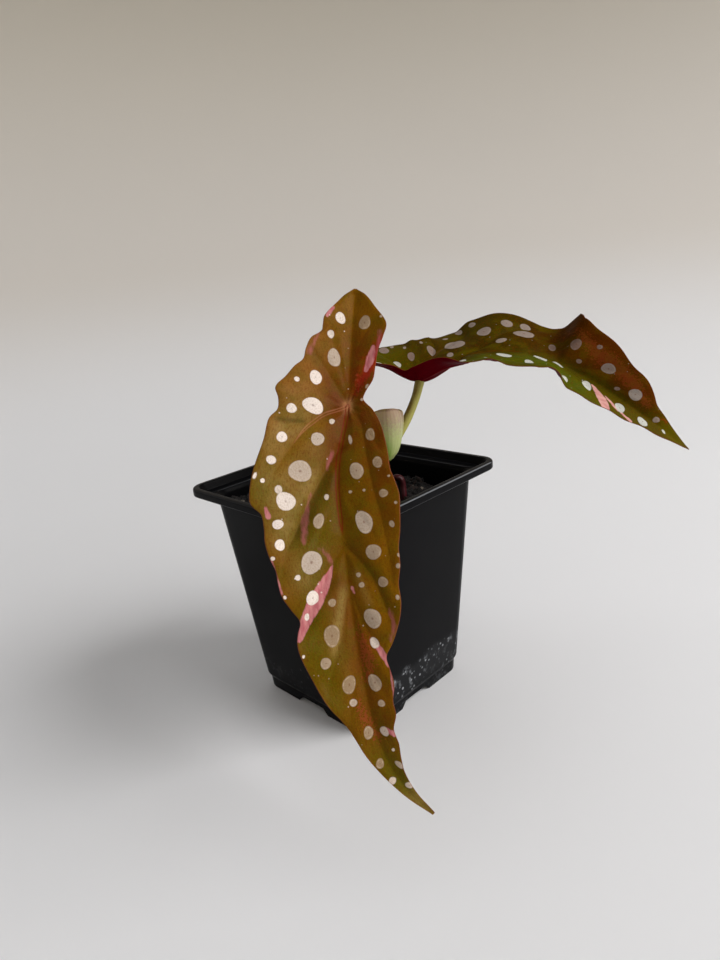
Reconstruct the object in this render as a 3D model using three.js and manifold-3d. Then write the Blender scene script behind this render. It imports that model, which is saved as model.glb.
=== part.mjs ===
// A potted polka dot begonia: two long, lopsided, spotted leaves on one short cane, in a
// square black nursery pot full of potting mix.
// Millimetres, +Z up, the pot's feet on z = 0. Places are counted from the pot's own axis,
// and the finished group is shifted so that its bounding box is centred over the origin.
import * as THREE from "three";
import { mergeVertices } from "three/addons/utils/BufferGeometryUtils.js";
import Module from "manifold-3d";

const wasm = await Module();
wasm.setup();

// ---------------------------------------------------------------- driving dimensions

const GAP = 0.3;                 // clearance between touching pieces

// The pot: a 90 mm square, tapered, with rounded corners. Half sides are flat to axis.
const POT_HEIGHT = 94.4;
const RIM_HALF = 45;
const RIM_RADIUS = 7.2;
const RIM_BAND = 3.4;            // height of the rim's outer band
const RIM_EDGE = 0.4;            // softened top edge of the band
const LIP_WIDTH = 2.5;           // flat top of the band
const LEDGE_Z = 91.3;            // shallow ledge inside the band
const LEDGE_OUTER_HALF = 41.4;
const LEDGE_INNER_HALF = 38.2;
const WALL = 1.2;
const WALL_TOP_HALF = 38.4;
const WALL_TOP_Z = 89.2;
const WALL_TOP_RADIUS = 8;
const WALL_FOOT_HALF = 31.7;
const WALL_FOOT_Z = 6.9;
const WALL_FOOT_RADIUS = 7;
const STEP_HALF = 30.7;          // small step where the wall meets the feet
const STEP_Z = 5.2;
const STEP_RADIUS = 6.5;
const FOOT_HALF = 30.4;
const FOOT_WIDTH = 2;
const FLOOR_UNDER = 4.5;
const FLOOR_TOP = 6.2;
const FLOOR_CORNER_Z = 8.2;      // top of the chamfer between floor and wall
const FLOOR_HALF = 29.3;
const ARCH_HEIGHT = 3;           // low arch between each pair of feet
const ARCH_FOOT_HALF = 9;
const ARCH_CROWN_HALF = 6.5;
const DRAIN_RADIUS = 3;
const DRAIN_REACH = 19;          // drain holes stand on a square of this half side
const DRAIN_SIDES = 14;
const CORNER_STEPS = 6;

// The potting mix: level, with a gentle slope and lumps.
const SOIL_LEVEL = 84;
const SOIL_SLOPE = 0.035;        // higher on the left, lower on the right
const SOIL_LUMP = 0.9;
const SOIL_SHOULDER = 5;         // the mix fills the pot's whole section up to here
const SOIL_EDGE_DROP = 1.5;      // and has sunk a little along the wall
const SOIL_RINGS = 9;
const SOIL_SIDE_STEPS = 6;

// Round stalks: [x, y, z, radius] along each one.
const STEM = [
  [1, -3, 56, 2.6],
  [1.5, -4.5, 70, 3.1],
  [2, -6, 82, 3.2],
  [2.4, -8, 89, 2.8],
  [3, -10, 94.5, 3.3],
  [5, -13.5, 98.5, 2.6],
  [8, -18, 103, 2.9],
  [8.8, -18.2, 107, 1.9],
  [9.4, -18.2, 111, 0.7],
];
const PETIOLE_FRONT = [
  [3, -10, 94.5, 2.3],
  [-2, -13, 101, 1.9],
  [-10, -19, 111, 1.8],
  [-20, -28, 122, 1.8],
  [-26, -34, 128, 2],
  [-29.4, -37.4, 131.1, 2.4],
];
const PETIOLE_SIDE = [
  [8, -18, 103, 2.3],
  [13, -19, 108, 1.9],
  [18.5, -20.4, 114.5, 1.8],
  [23.5, -21.3, 122, 1.8],
  [26.5, -21.6, 128.3, 2.3],
];
const SHOOT = [
  [13, -19, 66, 1.7],
  [13.5, -19.5, 82, 2.1],
  [15, -18.4, 89, 2.1],
  [14.6, -17.8, 92.3, 2],
  [12.6, -16.2, 93, 1.7],
  [11, -14.9, 91, 1],
];
const STALK_SIDES = 12;
const STALK_STEP = 2.5;          // spacing of a stalk's rings

// The stipule: a papery, cupped sheath round the upper node, [x, y, z, radius, half angle].
const STIPULE = [
  [7, -16.6, 101, 4.1, 62],
  [8.1, -18, 104, 4.5, 74],
  [8.9, -18.4, 109, 5.6, 80],
  [9.8, -18.4, 115, 7.2, 72],
  [10.4, -18.2, 119.5, 8.2, 58],
  [10.6, -18.1, 121, 8.4, 40],
];
const STIPULE_FACING = 228;      // degrees from +X, the way its bulging back looks
const STIPULE_THICKNESS = 0.7;
const STIPULE_COLUMNS = 12;
const STIPULE_ROWS = 10;
const STIPULE_CROWN = 1.2;       // rise of its top edge in the middle

// Each blade is laid out flat as [along, wide, lift, narrow, lift]: along runs down the
// midrib from the end of the round lobe, through the stalk at 0, to the tip. Wide and
// narrow are the two half widths, and each lift is that half's angle up from level.
const BLADE_THICKNESS = 0.8;
const BLADE_STEP = 2.3;
const HALF_COLUMNS = 5;
const SCALLOP_LENGTH = 7.4;      // the margin's shallow scallops
const SCALLOP_DEPTH = 0.8;
const RIPPLE_LENGTH = 15;        // and its slower rise and fall
const RIPPLE_HEIGHT = 0.7;
const FULL_WAVE_HALF = 12;       // halves narrower than this wave in proportion less

const LEAF_FRONT = {
  midrib: [
    [-10.5, -27, 166], [-20.8, -32.2, 146.2], [-30, -38.1, 131.8], [-44, -45, 113.6],
    [-53, -54.4, 93.6], [-60.5, -63.3, 72.6], [-66, -72.5, 51.1], [-66.3, -77, 40],
    [-64, -82.6, 29.7], [-60.3, -88, 22.4],
  ],
  stalkPoint: 2,
  facing: [-0.55, -0.6, 0.55],
  wideSide: -1,
  dimple: [1, 7],
  rows: [
    [-41, 0.7, 15, 0.7, 15],
    [-40, 2.6, 15, 2.8, 15],
    [-36, 5.8, 15, 7, 15],
    [-30, 9.1, 15, 10.3, 15],
    [-24, 12.3, 15, 10.8, 15],
    [-18, 14.8, 15, 9.7, 15],
    [-12, 17.6, 15, 8.8, 15],
    [-6, 20.6, 15, 5.9, 15],
    [0, 22.1, 15, 7.6, 15],
    [6, 22.3, 15, 11.2, 15],
    [12, 22.9, 15, 14.5, 15],
    [24, 25, 15, 16.9, 15],
    [30, 26.1, 15, 17.8, 15],
    [38, 24.7, 15, 18.2, 15],
    [48, 22.3, 15, 17.1, 15],
    [60, 19.6, 15, 15.2, 15],
    [72, 16.6, 15, 12.5, 15],
    [84, 13.4, 15, 8.6, 15],
    [96, 8.4, 15, 6.8, 15],
    [108, 4.2, 15, 4.4, 15],
    [120, 2, 15, 2.3, 15],
    [129.6, 0.5, 15, 0.5, 15],
  ],
};

const LEAF_SIDE = {
  midrib: [
    [0, 10, 137], [7, 1, 138.5], [16, -10, 137], [26.5, -21.5, 134.5], [36, -29, 134.5],
    [46, -35.5, 136.5], [63.5, -49, 133.5], [76.5, -66, 122.5], [85, -85, 107.5],
    [97.5, -99.5, 91],
  ],
  stalkPoint: 3,
  facing: [0, 0, 1],
  wideSide: 1,
  dimple: [6, 10],
  rows: [
    [-41, 0.7, 6, 0.7, 5],
    [-40, 3.5, 6, 4, 5],
    [-36, 6.5, 6, 8, 6],
    [-30, 10.5, 8, 11, 8],
    [-24, 14.3, 8, 10.3, 10],
    [-18, 17, 9, 9.3, 12],
    [-12, 21.4, 11, 8.3, 16],
    [-5, 24, 13, 4.5, 24],
    [-2, 24.2, 15, 9, 30],
    [2, 24.5, 16, 11.5, 30],
    [6, 25.1, 17, 13, 24],
    [12, 25.2, 15, 15.9, 12],
    [24, 27.4, 11, 17.6, -2],
    [30, 27.8, 20, 18.9, -8],
    [38, 25.2, 32, 19, -12],
    [48, 23, 32, 17.6, -13],
    [54, 21, 36, 16.6, -11],
    [58, 21, 56, 15.9, -13],
    [61, 22, 80, 15.2, -28],
    [72, 17, 92, 13, -40],
    [84, 13.4, 92, 9.5, -44],
    [96, 8.5, 84, 7, -46],
    [108, 4.4, 66, 4.4, -40],
    [118, 2, 40, 2.2, -30],
    [121.4, 0.5, 20, 0.5, -20],
  ],
};

// ---------------------------------------------------------------- numbers and curves

const radians = THREE.MathUtils.degToRad;

// Values at u on a smooth curve through rows of [u, value, value, ...].
function smooth(rows, u) {
  const last = rows.length - 1;
  const at = Math.min(Math.max(u, rows[0][0]), rows[last][0]);
  let i = 0;
  while (i < last - 1 && at > rows[i + 1][0]) i += 1;
  const [a, b] = [rows[i], rows[i + 1]];
  const before = rows[Math.max(i - 1, 0)];
  const after = rows[Math.min(i + 2, last)];
  const span = b[0] - a[0];
  const t = (at - a[0]) / span;
  return a.slice(1).map((_, k) => {
    const slopeA = (b[k + 1] - before[k + 1]) / (b[0] - before[0]);
    const slopeB = (after[k + 1] - a[k + 1]) / (after[0] - a[0]);
    return (2 * t ** 3 - 3 * t ** 2 + 1) * a[k + 1]
      + (t ** 3 - 2 * t ** 2 + t) * span * slopeA
      + (3 * t ** 2 - 2 * t ** 3) * b[k + 1]
      + (t ** 3 - t ** 2) * span * slopeB;
  });
}

// Rows of [x, y, z, ...] with the distance along them, counted from one of the points,
// put first.
function withDistance(points, zeroAt = 0) {
  const places = points.map((p) => new THREE.Vector3(p[0], p[1], p[2]));
  const distance = [0];
  for (let i = 1; i < places.length; i += 1) {
    distance.push(distance[i - 1] + places[i].distanceTo(places[i - 1]));
  }
  return points.map((p, i) => [distance[i] - distance[zeroAt], ...p]);
}

// Evenly spaced numbers from low to high, both included, no further apart than step.
function spread(low, high, step) {
  const count = Math.ceil((high - low) / step);
  return Array.from({ length: count + 1 }, (_, i) => low + ((high - low) * i) / count);
}

// ---------------------------------------------------------------- closed surfaces

function geometryOf(vertices, triangles) {
  const geometry = new THREE.BufferGeometry();
  geometry.setAttribute("position", new THREE.Float32BufferAttribute(
    vertices.flatMap((v) => [v.x, v.y, v.z]), 3));
  geometry.setIndex(triangles.flat());
  return geometry;
}

// A closed body through rings of equal count, each counter-clockwise about the direction
// of travel, with a fan over the first and the last.
function skin(rings) {
  const count = rings[0].length;
  const vertices = rings.flat();
  const triangles = [];
  for (let r = 0; r + 1 < rings.length; r += 1) {
    for (let k = 0; k < count; k += 1) {
      const next = (k + 1) % count;
      const [a, b] = [r * count + k, r * count + next];
      const [c, d] = [a + count, b + count];
      triangles.push([a, b, d], [a, d, c]);
    }
  }
  const middleOf = (ring) => ring.reduce((sum, v) => sum.add(v), new THREE.Vector3())
    .divideScalar(count);
  const foot = vertices.push(middleOf(rings[0])) - 1;
  const head = vertices.push(middleOf(rings.at(-1))) - 1;
  const top = (rings.length - 1) * count;
  for (let k = 0; k < count; k += 1) {
    const next = (k + 1) % count;
    triangles.push([foot, next, k], [head, top + k, top + next]);
  }
  return geometryOf(vertices, triangles);
}

// A closed slab between two grids of points alike in layout, upper and lower, with an
// edge strip round it. Both faces are split along the same diagonals.
function slab(upper, lower) {
  const rows = upper.length;
  const columns = upper[0].length;
  const vertices = [...upper.flat(), ...lower.flat()];
  const under = rows * columns;
  const triangles = [];
  for (let r = 0; r + 1 < rows; r += 1) {
    for (let c = 0; c + 1 < columns; c += 1) {
      const a = r * columns + c;
      const [b, d, e] = [a + 1, a + columns, a + columns + 1];
      triangles.push([a, b, e], [a, e, d]);
      triangles.push([under + a, under + e, under + b], [under + a, under + d, under + e]);
    }
  }
  const border = [];
  for (let c = 0; c < columns - 1; c += 1) border.push(c);
  for (let r = 0; r < rows - 1; r += 1) border.push(r * columns + columns - 1);
  for (let c = columns - 1; c > 0; c -= 1) border.push((rows - 1) * columns + c);
  for (let r = rows - 1; r > 0; r -= 1) border.push(r * columns);
  border.forEach((a, i) => {
    const b = border[(i + 1) % border.length];
    triangles.push([a, under + a, under + b], [a, under + b, b]);
  });
  return geometryOf(vertices, triangles);
}

function solid(geometry) {
  const merged = geometry.clone();
  merged.deleteAttribute("normal");
  merged.deleteAttribute("uv");
  const clean = mergeVertices(merged, 1e-4);
  return new wasm.Manifold(new wasm.Mesh({
    numProp: 3,
    vertProperties: new Float32Array(clean.attributes.position.array),
    triVerts: new Uint32Array(clean.index.array),
  }));
}

function geometryFrom(manifold) {
  const mesh = manifold.getMesh();
  const geometry = new THREE.BufferGeometry();
  geometry.setAttribute("position", new THREE.BufferAttribute(mesh.vertProperties, 3));
  geometry.setIndex(new THREE.BufferAttribute(mesh.triVerts, 1));
  return geometry;
}

// ---------------------------------------------------------------- pot and soil

// A level square with rounded corners, counter-clockwise seen from above.
function roundedSquare(half, radius, z, sideSteps = 1) {
  const points = [];
  const middle = half - radius;
  for (let corner = 0; corner < 4; corner += 1) {
    const turn = (corner * Math.PI) / 2;
    const diagonal = turn + Math.PI / 4;
    const [cx, cy] = [Math.cos(diagonal), Math.sin(diagonal)].map((v) => v * middle * Math.SQRT2);
    for (let k = 0; k <= CORNER_STEPS; k += 1) {
      const angle = turn + ((k / CORNER_STEPS) * Math.PI) / 2;
      points.push(new THREE.Vector3(cx + radius * Math.cos(angle),
        cy + radius * Math.sin(angle), z));
    }
    const start = points.at(-1);
    const run = new THREE.Vector3(-Math.cos(turn), -Math.sin(turn), 0)
      .multiplyScalar(2 * middle);
    for (let k = 1; k < sideSteps; k += 1) {
      points.push(start.clone().addScaledVector(run, k / sideSteps));
    }
  }
  return points;
}

const loft = (levels) => skin(levels.map(([z, half, radius]) => roundedSquare(half, radius, z)));

// The wall's outer half side and corner radius at a height between the step and the rim.
function wallAt(z) {
  const t = (z - WALL_FOOT_Z) / (WALL_TOP_Z - WALL_FOOT_Z);
  return {
    half: WALL_FOOT_HALF + t * (WALL_TOP_HALF - WALL_FOOT_HALF),
    radius: WALL_FOOT_RADIUS + t * (WALL_TOP_RADIUS - WALL_FOOT_RADIUS),
  };
}

// A level of the wall's inside, drawn in by a clearance.
function insideAt(z, clearance = 0) {
  const { half, radius } = wallAt(z);
  return [z, half - WALL - clearance, radius - WALL - clearance];
}

function makePot() {
  const outer = loft([
    [0, FOOT_HALF, STEP_RADIUS],
    [STEP_Z, STEP_HALF, STEP_RADIUS],
    [WALL_FOOT_Z, WALL_FOOT_HALF, WALL_FOOT_RADIUS],
    [WALL_TOP_Z, WALL_TOP_HALF, WALL_TOP_RADIUS],
    [POT_HEIGHT - RIM_BAND, RIM_HALF - RIM_EDGE, RIM_RADIUS - RIM_EDGE],
    [POT_HEIGHT - RIM_BAND + RIM_EDGE, RIM_HALF, RIM_RADIUS],
    [POT_HEIGHT - RIM_EDGE, RIM_HALF, RIM_RADIUS],
    [POT_HEIGHT, RIM_HALF - RIM_EDGE, RIM_RADIUS - RIM_EDGE],
  ]);
  const lipHalf = RIM_HALF - LIP_WIDTH;
  const lipRadius = RIM_RADIUS - LIP_WIDTH;
  const inside = loft([
    [FLOOR_TOP, FLOOR_HALF, STEP_RADIUS - WALL],
    insideAt(FLOOR_CORNER_Z),
    insideAt(WALL_TOP_Z),
    [LEDGE_Z - 0.2, LEDGE_INNER_HALF, WALL_TOP_RADIUS - WALL],
    [LEDGE_Z, LEDGE_OUTER_HALF, lipRadius],
    [POT_HEIGHT, lipHalf, lipRadius],
    [POT_HEIGHT + 1, lipHalf, lipRadius],
  ]);
  const under = loft([
    [-1, FOOT_HALF - FOOT_WIDTH, STEP_RADIUS - FOOT_WIDTH],
    [FLOOR_UNDER, FOOT_HALF - FOOT_WIDTH, STEP_RADIUS - FOOT_WIDTH],
  ]);
  let pot = solid(outer).subtract(solid(inside)).subtract(solid(under));
  for (const quarter of [0, 1]) {
    const arch = new THREE.ExtrudeGeometry(new THREE.Shape([
      new THREE.Vector2(-ARCH_FOOT_HALF, 0),
      new THREE.Vector2(-ARCH_FOOT_HALF, -1),
      new THREE.Vector2(ARCH_FOOT_HALF, -1),
      new THREE.Vector2(ARCH_FOOT_HALF, 0),
      new THREE.Vector2(ARCH_CROWN_HALF, ARCH_HEIGHT),
      new THREE.Vector2(-ARCH_CROWN_HALF, ARCH_HEIGHT),
    ]), { depth: 2 * RIM_HALF, bevelEnabled: false });
    arch.translate(0, 0, -RIM_HALF);
    arch.rotateX(Math.PI / 2);
    arch.rotateZ((quarter * Math.PI) / 2);
    pot = pot.subtract(solid(arch));
  }
  for (const x of [-1, 0, 1]) {
    for (const y of [-1, 0, 1]) {
      const hole = new THREE.CylinderGeometry(DRAIN_RADIUS, DRAIN_RADIUS,
        2 * FLOOR_TOP, DRAIN_SIDES);
      hole.rotateX(Math.PI / 2);
      hole.translate(x * DRAIN_REACH, y * DRAIN_REACH, FLOOR_UNDER);
      pot = pot.subtract(solid(hole));
    }
  }
  return geometryFrom(pot);
}

// Height of the potting mix above its level at a place.
function soilLift(x, y) {
  const lumps = Math.sin(x * 0.31 + 1) * Math.cos(y * 0.27) + Math.sin((x + y) * 0.19 + 2)
    + 0.6 * Math.sin(x * 0.62 - y * 0.5);
  return -SOIL_SLOPE * (x - y) + SOIL_LUMP * lumps;
}

function makeSoil() {
  const square = ([z, half, radius]) => roundedSquare(half, radius, z, SOIL_SIDE_STEPS);
  const rings = [
    square([FLOOR_TOP + GAP, FLOOR_HALF - GAP, STEP_RADIUS - WALL - GAP]),
    square(insideAt(FLOOR_CORNER_Z, GAP)),
    square(insideAt(SOIL_LEVEL - SOIL_SHOULDER, GAP)),
  ];
  const brim = rings.at(-1);
  for (let r = SOIL_RINGS; r > 0; r -= 1) {
    const scale = r / SOIL_RINGS;
    const edge = r === SOIL_RINGS ? SOIL_EDGE_DROP : 0;
    rings.push(brim.map(({ x, y }) => new THREE.Vector3(x * scale, y * scale,
      SOIL_LEVEL - edge + soilLift(x * scale, y * scale))));
  }
  return geometryFrom(solid(skin(rings))
    .subtract(solid(stalk(STEM, GAP)))
    .subtract(solid(stalk(SHOOT, GAP))));
}

// ---------------------------------------------------------------- stalks

// A round stalk along rows of [x, y, z, radius], made fatter and longer by extra.
function stalk(points, extra = 0) {
  const rows = withDistance(points);
  const end = rows.at(-1)[0];
  const place = (s) => new THREE.Vector3(...smooth(rows, s).slice(0, 3));
  const side = new THREE.Vector3(1, 0, 0);
  const rings = spread(0, end, STALK_STEP).map((s) => {
    const [x, y, z, radius] = smooth(rows, s);
    const along = place(Math.min(s + 0.5, end)).sub(place(Math.max(s - 0.5, 0))).normalize();
    side.addScaledVector(along, -side.dot(along)).normalize();
    const across = new THREE.Vector3().crossVectors(along, side);
    let shift = 0;
    if (s === 0) shift = -extra;
    if (s === end) shift = extra;
    return Array.from({ length: STALK_SIDES }, (_, k) => {
      const angle = (k / STALK_SIDES) * 2 * Math.PI;
      return new THREE.Vector3(x, y, z).addScaledVector(along, shift)
        .addScaledVector(side, (radius + extra) * Math.cos(angle))
        .addScaledVector(across, (radius + extra) * Math.sin(angle));
    });
  });
  return skin(rings);
}

// ---------------------------------------------------------------- blades

// Where the midrib runs, and the two directions across it, at each station.
function midribFrames(leaf, stations) {
  const rows = withDistance(leaf.midrib, leaf.stalkPoint);
  const place = (u) => new THREE.Vector3(...smooth(rows, u));
  const tangent = (u) => place(u + 0.5).sub(place(u - 0.5)).normalize();
  const first = stations.reduce((best, u, i) => (
    Math.abs(u) < Math.abs(stations[best]) ? i : best), 0);
  const frames = new Array(stations.length);
  const settle = (i, guide) => {
    const along = tangent(Math.min(Math.max(stations[i], rows[0][0] + 0.5),
      rows.at(-1)[0] - 0.5));
    const up = guide.clone().addScaledVector(along, -guide.dot(along)).normalize();
    const side = new THREE.Vector3().crossVectors(up, along).multiplyScalar(leaf.wideSide);
    frames[i] = { place: place(stations[i]), up, side };
  };
  settle(first, new THREE.Vector3(...leaf.facing));
  for (let i = first + 1; i < stations.length; i += 1) settle(i, frames[i - 1].up);
  for (let i = first - 1; i >= 0; i -= 1) settle(i, frames[i + 1].up);
  return frames;
}

// The blade's middle surface, as rows of points from the wide margin to the narrow one.
function bladeSurface(leaf) {
  const [start, end] = [leaf.rows[0][0], leaf.rows.at(-1)[0]];
  const stations = [start, start + 0.4, ...spread(start + 1, end, BLADE_STEP)];
  const frames = midribFrames(leaf, stations);
  const [depth, reach] = leaf.dimple;
  return stations.map((u, i) => {
    const { place, up, side } = frames[i];
    const [wide, wideLift, narrow, narrowLift] = smooth(leaf.rows, u);
    const row = [];
    for (let c = -HALF_COLUMNS; c <= HALF_COLUMNS; c += 1) {
      const outward = c < 0 ? 1 : -1;
      const q = Math.abs(c) / HALF_COLUMNS;
      const half = c < 0 ? wide : narrow;
      const lift = radians(c < 0 ? wideLift : narrowLift);
      const phase = outward * 2;
      const room = Math.min(half / FULL_WAVE_HALF, 1);
      const scallop = room * SCALLOP_DEPTH
        * (Math.abs(Math.sin((Math.PI * u) / SCALLOP_LENGTH + phase)) - 2 / Math.PI);
      const ripple = room * RIPPLE_HEIGHT * q ** 3
        * Math.sin((2 * Math.PI * u) / RIPPLE_LENGTH + phase);
      const across = q * (half + scallop);
      const sink = depth * Math.exp(-(u ** 2 + across ** 2) / reach ** 2);
      row.push(place.clone()
        .addScaledVector(side, outward * across * Math.cos(lift))
        .addScaledVector(up, across * Math.sin(lift) + ripple - sink));
    }
    return row;
  });
}

// The blade with an even thickness about its middle surface.
function blade(leaf, thickness) {
  const surface = bladeSurface(leaf);
  const face = (direction) => surface.map((row, i) => row.map((point, k) => {
    const before = surface[Math.max(i - 1, 0)][k];
    const after = surface[Math.min(i + 1, surface.length - 1)][k];
    const left = row[Math.max(k - 1, 0)];
    const right = row[Math.min(k + 1, row.length - 1)];
    const normal = new THREE.Vector3().crossVectors(
      right.clone().sub(left), after.clone().sub(before)).normalize();
    return point.clone().addScaledVector(normal, (direction * leaf.wideSide * thickness) / 2);
  }));
  const [top, bottom] = [face(1), face(-1)];
  return leaf.wideSide > 0 ? slab(top, bottom) : slab(bottom, top);
}

// ---------------------------------------------------------------- stipule

function makeStipule() {
  const rows = withDistance(STIPULE);
  const facing = radians(STIPULE_FACING);
  const shell = (offset) => spread(0, 1, 1 / STIPULE_ROWS).map((t) => {
    const [x, y, z, radius, halfAngle] = smooth(rows, t * rows.at(-1)[0]);
    return spread(-1, 1, 2 / STIPULE_COLUMNS).map((k) => {
      const angle = facing + radians(k * halfAngle);
      const crown = STIPULE_CROWN * t ** 4 * Math.cos((k * Math.PI) / 2);
      return new THREE.Vector3(x + (radius + offset) * Math.cos(angle),
        y + (radius + offset) * Math.sin(angle), z + crown);
    });
  });
  return slab(shell(STIPULE_THICKNESS / 2), shell(-STIPULE_THICKNESS / 2));
}

// ---------------------------------------------------------------- the plant in its pot

const plant = new THREE.Group();

function add(name, geometry, color, roughness) {
  const material = new THREE.MeshStandardMaterial({ color, roughness, metalness: 0 });
  material.side = THREE.DoubleSide;
  const mesh = new THREE.Mesh(geometry, material);
  mesh.name = name;
  plant.add(mesh);
}

const stemRoom = solid(stalk(STEM, GAP));
const petioleRoom = solid(stalk(PETIOLE_SIDE, GAP));

// A leaf stalk, cut clear of the stem at one end and of its blade at the other.
function petiole(points, leaf) {
  const bladeRoom = solid(blade(leaf, BLADE_THICKNESS + 2 * GAP));
  return geometryFrom(solid(stalk(points)).subtract(stemRoom).subtract(bladeRoom));
}

add("pot", makePot(), 0x1c1d1f, 0.5);
add("soil", makeSoil(), 0x241a13, 0.95);
add("stem", stalk(STEM), 0x6f7a35, 0.55);
add("petiole_front", petiole(PETIOLE_FRONT, LEAF_FRONT), 0x7d7a33, 0.5);
add("leaf_front", blade(LEAF_FRONT, BLADE_THICKNESS), 0x74591f, 0.45);
add("petiole_side", petiole(PETIOLE_SIDE, LEAF_SIDE), 0x7f8036, 0.5);
add("leaf_side", blade(LEAF_SIDE, BLADE_THICKNESS), 0x515c1c, 0.45);
add("stipule", geometryFrom(solid(makeStipule()).subtract(stemRoom).subtract(petioleRoom)),
  0xa3a878, 0.5);
add("shoot", stalk(SHOOT), 0x7a1420, 0.4);

const box = new THREE.Box3().setFromObject(plant);
plant.position.set(-(box.min.x + box.max.x) / 2, -(box.min.y + box.max.y) / 2, -box.min.z);
plant.updateMatrixWorld(true);

export default plant;
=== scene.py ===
import math

import bpy
import numpy as np
from bpy.props import FloatProperty, FloatVectorProperty, IntProperty, PointerProperty
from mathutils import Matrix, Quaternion, Vector


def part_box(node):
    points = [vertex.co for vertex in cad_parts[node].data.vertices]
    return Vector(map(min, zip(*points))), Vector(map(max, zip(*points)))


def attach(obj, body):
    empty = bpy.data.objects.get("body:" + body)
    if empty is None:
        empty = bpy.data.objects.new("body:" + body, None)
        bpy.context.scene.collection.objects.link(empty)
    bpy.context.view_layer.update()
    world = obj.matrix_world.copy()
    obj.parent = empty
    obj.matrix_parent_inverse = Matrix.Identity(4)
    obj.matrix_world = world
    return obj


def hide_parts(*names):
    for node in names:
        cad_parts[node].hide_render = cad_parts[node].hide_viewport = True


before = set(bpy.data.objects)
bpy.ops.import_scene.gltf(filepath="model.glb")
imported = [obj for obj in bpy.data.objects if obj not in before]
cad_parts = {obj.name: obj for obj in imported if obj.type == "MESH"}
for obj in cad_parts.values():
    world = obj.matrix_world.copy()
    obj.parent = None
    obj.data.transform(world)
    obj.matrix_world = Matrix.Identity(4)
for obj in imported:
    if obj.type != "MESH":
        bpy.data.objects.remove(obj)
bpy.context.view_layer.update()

bl_info = {
    "name": "Potted Polka Dot Begonia",
    "version": (1, 0, 0),
    "blender": (4, 5, 0),
    "location": "3D View > Sidebar > Begonia",
    "description": "Builds a spotted begonia in its square nursery pot, on a pale stage",
    "category": "Add Mesh",
}

# ------------------------------------------------------------------ where things stand
# Tables are in millimetres from the pot's own axis, with the pot's feet on z = 0.
# The pot stands where the frame has it, and everything else is counted from there.

MM = 0.001
POT_LOW, POT_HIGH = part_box("pot")
POT_AXIS = np.array([(POT_LOW.x + POT_HIGH.x) / 2, (POT_LOW.y + POT_HIGH.y) / 2, 0.0])

# The pot's levels as [half side, corner radius, z, fillet]. Half sides are flat to axis.
RIM_TOP = 94.4
RIM_HALF = 45.0
RIM_BAND = 3.4
LEDGE_TOP = 91.1
FLOOR_UNDER = 4.5
OUTSIDE = [
    [28.4, 4.5, FLOOR_UNDER, 0.3],
    [28.4, 4.5, 0.0, 0.5],
    [30.4, 6.5, 0.0, 0.5],
    [30.7, 6.5, 5.2, 0.5],
    [31.7, 7.0, 6.9, 0.7],
    [38.4, 8.0, 89.2, 1.2],
    [44.4, 6.9, RIM_TOP - RIM_BAND, 0.35],
    [RIM_HALF, 7.2, RIM_TOP - RIM_BAND + 0.5, 0.4],
    [RIM_HALF, 7.2, RIM_TOP, 0.9],
    [42.5, 4.7, RIM_TOP, 0.6],
    [41.6, 4.7, 91.3, 0.5],
    [38.2, 6.8, LEDGE_TOP, 0.8],
    [37.2, 6.8, 89.2, 0.6],
]
# Width of the thin painted highlights, partly edge wear, on the rim band's lower edge and on the
# ledge
EDGE_HIGHLIGHT_WIDTH = 0.3
LEDGE_HALF = 38.3                # the ledge's inner edge, where a thin highlight is painted
PLASTIC_IOR = 1.13
WALL = 1.2
WALL_TOP = [38.4, 8.0, 89.2]
WALL_FOOT = [31.7, 7.0, 6.9]
FLOOR_CORNER_Z = 8.2
FLOOR_TOP = 6.2
FLOOR_HALF = 29.3
FLOOR_RADIUS = 5.3
FLOOR_MIDDLE = [8, 2]            # half side and corner radius of the floor's middle square
SHARP_ANGLE = 32                 # degrees
CORNER_STEPS = 14
SIDE_STEPS = 10
ARCH_HEIGHT = 3.0
ARCH_FOOT_HALF = 9.0
ARCH_CROWN_HALF = 6.5
DRAIN_RADIUS = 3.0
DRAIN_REACH = 19.0
DRAIN_SIDES = 28

# Potting mix: its level, slope and lumps, and how it meets the wall.
SOIL_LEVEL = 84.0
SOIL_SLOPE = 0.035
SOIL_LUMP = 0.9
SOIL_SHOULDER = 5.0
SOIL_EDGE_DROP = 1.5
SOIL_RINGS = 60
SOIL_GAP = 0.3
OPEN_SHARE = 0.97                # loose pieces lie inside this share of its width
LUMP_DETAIL = 2

# Round stalks as [x, y, z, radius].
STEM = [
    [1, -3, 56, 2.6], [1.5, -4.5, 70, 3.1], [2, -6, 82, 3.2], [2.4, -8, 89, 2.8],
    [3, -10, 94.5, 3.3], [5, -13.5, 98.5, 2.6], [8, -18, 103, 2.9], [8.8, -18.2, 107, 1.9],
    [9.4, -18.2, 111, 0.7],
]
STEM_NODES = [38.9, 50.9]        # distances up the cane to its two ringed nodes
PETIOLE_FRONT = [
    [3, -10, 94.5, 2.3], [-2, -13, 101, 1.9], [-10, -19, 111, 1.8], [-20, -28, 122, 1.8],
    [-26, -34, 128, 1.8], [-29.1, -37.1, 130.8, 2.0],
]
PETIOLE_SIDE = [
    [8, -18, 103, 2.3], [13, -19, 108, 1.9], [18.5, -20.4, 114.5, 1.8],
    [23.5, -21.3, 122, 1.7], [26.3, -21.6, 127.9, 1.9],
]
SHOOT = [
    [13, -19, 66, 1.6], [13.5, -19.5, 82, 1.6], [14.6, -18.6, 87.5, 1.6],
    [14.4, -18, 90.2, 1.5], [13.2, -16.8, 91, 1.3], [12, -15.8, 89.6, 0.8],
]
STALK_SIDES = 40
STALK_STEP = 0.5
STALK_IOR = 1.31                 # their skin is satin

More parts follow.
